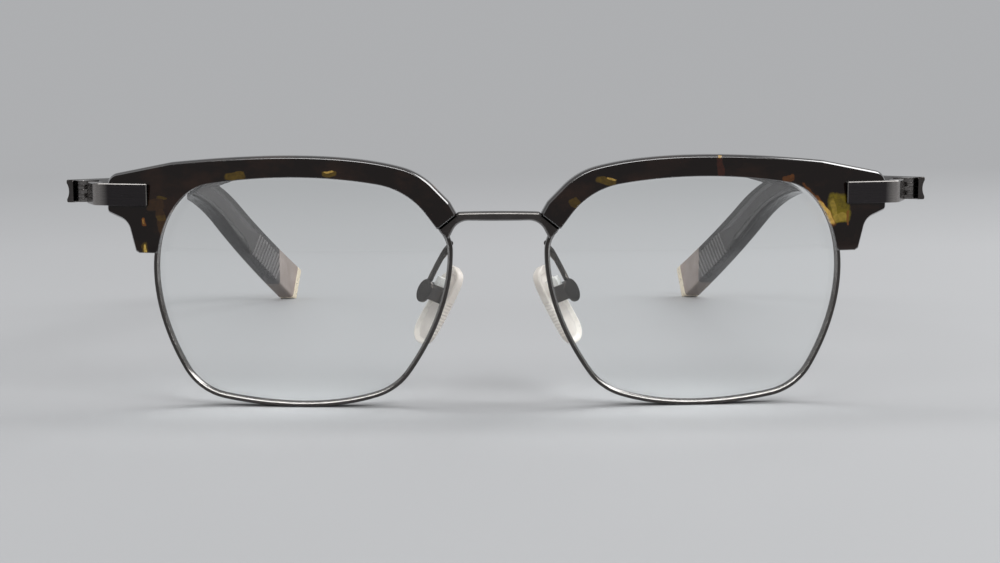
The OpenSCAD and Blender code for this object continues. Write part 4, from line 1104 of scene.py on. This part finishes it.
def build_pad():
    """The silicone teardrop, and the faces of its recess's floor, which take a darker silicone as painted
    shade.
    """
    loop = refine(outline([
        (-PAD_W / 2 + 0.2, PAD_L / 2 - 1.2, 2.6),
        (PAD_W / 2 - 1, PAD_L / 2, 2),
        (PAD_W / 2, -PAD_L / 2, 3),
        (-PAD_W / 2, -PAD_L / 2, 3),
    ]), PAD_STEP)
    teeth = (loop[:, 0] < -PAD_W / 2 + 0.4) & (loop[:, 1] > RIDGE_LOW) & (loop[:, 1] < RIDGE_TOP)
    wave = RIDGE_D * (1 + np.cos(2 * np.pi * loop[:, 1] / RIDGE_PITCH))
    loop[:, 0] += np.where(teeth, wave, 0)

    def nose_face(q):
        return -PAD_OFF - PAD_T + q[:, 0] ** 2 / (2 * PAD_ACROSS_R) + q[:, 1] ** 2 / (2 * PAD_ALONG_R)

    def outer_face(q):
        return np.full(len(q), -PAD_OFF)

    def recess(q, d):
        t = np.clip((d - RECESS_AT) / RECESS_SLOPE, 0, 1)
        return PAD_SINK * t * t * (3 - 2 * t)

    verts, faces = plate(loop, nose_face, outer_face, PAD_ROUND, PAD_BACK_ROUND, PAD_PITCH, recess)
    sunk = np.abs(verts[:, 1] + PAD_OFF + PAD_SINK) < 0.03
    floor = [i for i, face in enumerate(faces) if all(sunk[k] for k in face)]
    local = np.stack([verts[:, 1], verts[:, 0], verts[:, 2] - PAD_LOW], 1)
    return pad_points(local), faces, floor


def build_arm():
    """The bent wire from the rim's back to the pad box."""
    start = np.array([NOSE_X - RIM_W / 2, 0, TOP_Z - ARM_DROP])
    start[1] = float(front_y(start[0], start[2], RIM_D))
    end = pad_points(ARM_TO)[0]
    a, b, c, d = start, start + ARM_PULL_ROOT, end + ARM_PULL_BOX, end
    path = []
    for t in np.linspace(0, 1, ARM_POINTS):
        s = 1 - t
        path.append(s ** 3 * a + 3 * s ** 2 * t * b + 3 * s * t * t * c + t ** 3 * d)
    tangent = np.gradient(np.array(path), axis=0)
    rings = []
    for p, t in zip(path, tangent):
        t = unit(t)
        u = unit(np.cross([1, 0, 0], t))
        w = np.cross(t, u)
        rings.append([p + WIRE_R * (u * cos(a) + w * sin(a)) for a in range(0, 360, WIRE_TURN)])
    return loft(rings)


# What each piece is made of, rides on and stands for

SIDES = ((-1, "left"), (1, "right"))
core_metal = core_steel()
made = [
    ("brow", build_brow(), "front", None, "tortoise", 28),
    ("rim", build_rim(), "front", gunmetal, "gunmetal", 33),
    ("lens", build_lens(), "front", glass, "lens", 35),
    ("end_piece", build_end_piece(), "front", plate_metal(), "brushed", 22),
    ("temple_bar", build_bar(), "temple", gunmetal, "gunmetal", 30),
    ("tip_sleeve", build_sleeve(), "temple", smoky, "smoky_acetate", 45),
    ("tip_cap", build_cap(), "temple", gold, "gold", 40),
    ("nose_pad", build_pad(), "pad", frosted, "silicone", 50),
    ("pad_arm", build_arm(), "front", box_metal, "gunmetal", 50),
]
second_paint = {"rim": polished, "end_piece": painted_glint_metal, "nose_pad": recess_shade_silicone}
brow_edge = {-1: tortoise(-1, True), 1: tortoise(1, True)}
for name, (verts, faces, *marked), body, material, slot, sharp in made:
    for side, word in SIDES:
        rides = body if body == "front" else body + "_" + word
        paints = [material or tortoise(side)]
        if marked:
            paints.append(brow_edge[side] if name == "brow" else second_paint[name])
        to_object("%s_%s_skin" % (name, word), place(verts, side), faces, rides, paints, slot,
                  ["%s_%s" % (name, word)], sharp, *marked)
# The bridge's top bevel takes the lighter metal, a painted highlight.
verts, faces, bridge_glint_faces = build_bridge()
to_object("bridge_skin", place(verts), faces, "front", [gunmetal, painted_glint_metal], "gunmetal",
          ["bridge"], 30, bridge_glint_faces)

# The solids that show as they are, with their metal and the width of their softened edges

finish_of = {
    "rim_lock": (gunmetal, 0.08),
    "rim_lock_screw": (screw_metal, 0.03),
    "brow_tabs": (gunmetal, 0.06),
    "brow_screws": (screw_metal, 0.05),
    "end_piece_screws": (screw_metal, 0.05),
    "front_hinge": (hinge_steel, 0.05),
    "temple_hinge": (hinge_steel, 0.05),
    "hinge_screw": (screw_metal, 0.03),
    "pad_box": (box_metal, 0.1),
    "pad_screw": (box_metal, 0.05),
    "pad_core": (white_insert, 0.06),
    "temple_core": (core_metal, 0.03),
}
for name, (material, edge) in finish_of.items():
    for _, word in SIDES:
        obj = nodes["%s_%s" % (name, word)]
        obj.data.materials.clear()
        obj.data.materials.append(material)
        weld = obj.modifiers.new("weld", "WELD")
        weld.merge_threshold = 1e-6
        bevel = obj.modifiers.new("soft_edge", "BEVEL")
        bevel.width = edge * MM
        bevel.segments = 2
        bevel.limit_method = "ANGLE"
        bevel.angle_limit = math.radians(40)

# Floor and backdrop in one sweep

FLOOR_TONE = (0.42, 0.426, 0.437, 1)
FAR_LEVEL = 1.0
STAGE_HALF = 2.6
STAGE_NEAR = -1.8
STAGE_FLAT = 1.2
STAGE_BEND = 0.6
STAGE_TOP = 2.2


def build_stage():
    """A pale sweep, whose far part keeps one even tone where it is seen or mirrored."""
    profile = [(STAGE_NEAR, 0.0), (STAGE_FLAT, 0.0)]
    for a in range(10, 91, 10):
        profile.append((STAGE_FLAT + STAGE_BEND * sin(a), STAGE_BEND * (1 - cos(a))))
    profile += [(STAGE_FLAT + STAGE_BEND, STAGE_TOP)]
    verts = [(x, y, z) for x in (-STAGE_HALF, STAGE_HALF) for y, z in profile]
    n = len(profile)
    faces = [[i, n + i, n + i + 1, i + 1] for i in range(n - 1)]
    mesh = bpy.data.meshes.new("stage_sweep")
    mesh.from_pydata(verts, [], faces)
    mesh.shade_smooth()
    m = Nodes("stage_paper").set(Roughness=0.6)
    tone = m.noise(m.place(), 5.0, 3.0)
    m.link(m.blend(tone, tuple(0.97 * c for c in FLOOR_TONE[:3]) + (1,), FLOOR_TONE), "Base Color")
    m.link(m.spread(tone, 0.3, 0.7, 0.55, 0.65), "Roughness")
    far = m.spread(m.axis(m.place(), "Y"), 0.2, 0.75, 0.0, 1.0)
    path = m.add("ShaderNodeLightPath").outputs
    seen = m.math("ADD", path["Is Camera Ray"], path["Is Glossy Ray"])
    seen = m.math("MINIMUM", m.math("ADD", seen, path["Is Transmission Ray"]), 1.0)
    even = m.add("ShaderNodeEmission", {"Color": FLOOR_TONE, "Strength": FAR_LEVEL})
    both = m.add("ShaderNodeMixShader", {
        0: m.math("MULTIPLY", far, seen), 1: m.shader.outputs[0], 2: even.outputs[0]})
    m.show(both.outputs[0])
    mesh.materials.append(m.material)
    obj = new_object("stage_sweep", mesh)


build_stage()

# Light


def lamp(name, at, aim, size, watts):
    """A rectangle of light that looks at a point."""
    data = bpy.data.lights.new(name, "AREA")
    data.shape = "RECTANGLE"
    data.size, data.size_y = size
    data.energy = watts
    obj = new_object(name, data)
    obj.location = at
    obj.rotation_euler = (Vector(aim) - Vector(at)).to_track_quat("-Z", "Y").to_euler()


lamp("key_strip", (0.0, 0.38, 1.1), (0, 0, 0.02), (2.2, 0.3), 7.8)
lamp("side_strip", (0.95, 0.72, 1.0), (0, 0, 0.03), (1.2, 0.5), 6.5)
lamp("left_edge", (-1.15, 0.0, 0.5), (-0.05, -0.07, 0.03), (0.4, 0.6), 2.0)
lamp("right_edge", (1.15, 0.0, 0.5), (0.05, -0.07, 0.03), (0.4, 0.6), 3.0)
lamp("left_fill", (-0.55, -0.85, 0.95), (0, 0, 0.03), (0.8, 0.5), 2.8)
lamp("right_fill", (0.55, -0.85, 0.95), (0, 0, 0.03), (0.8, 0.5), 7.0)
world = bpy.data.worlds.new("studio")
world.use_nodes = True
sky = world.node_tree.nodes["Background"]
sky.inputs["Color"].default_value = (1.0, 1.0, 1.0, 1)
sky.inputs["Strength"].default_value = 0.3
bpy.context.scene.world = world
bpy.context.scene.view_settings.view_transform = "Standard"

# Camera at the photograph's place

CAMERA_AT = (-4.67, -274.76, 55.08)
DOWN = 6.878
TURN = 1.008
ROLL = -0.136
FOCAL_PX = 1626.0
PHOTO_W_PX = 1000.0
SENSOR_W = 36.0
data = bpy.data.cameras.new("camera")
data.sensor_width = SENSOR_W
data.lens = SENSOR_W * FOCAL_PX / PHOTO_W_PX
data.clip_start = 0.01
data.clip_end = 20.0
camera = new_object("camera", data)
camera.matrix_world = (
    Matrix.Translation(place(CAMERA_AT)[0])
    @ Matrix.Rotation(math.radians(-TURN), 4, "Z")
    @ Matrix.Rotation(math.radians(90 - DOWN), 4, "X")
    @ Matrix.Rotation(math.radians(ROLL), 4, "Z"))
bpy.context.scene.camera = camera
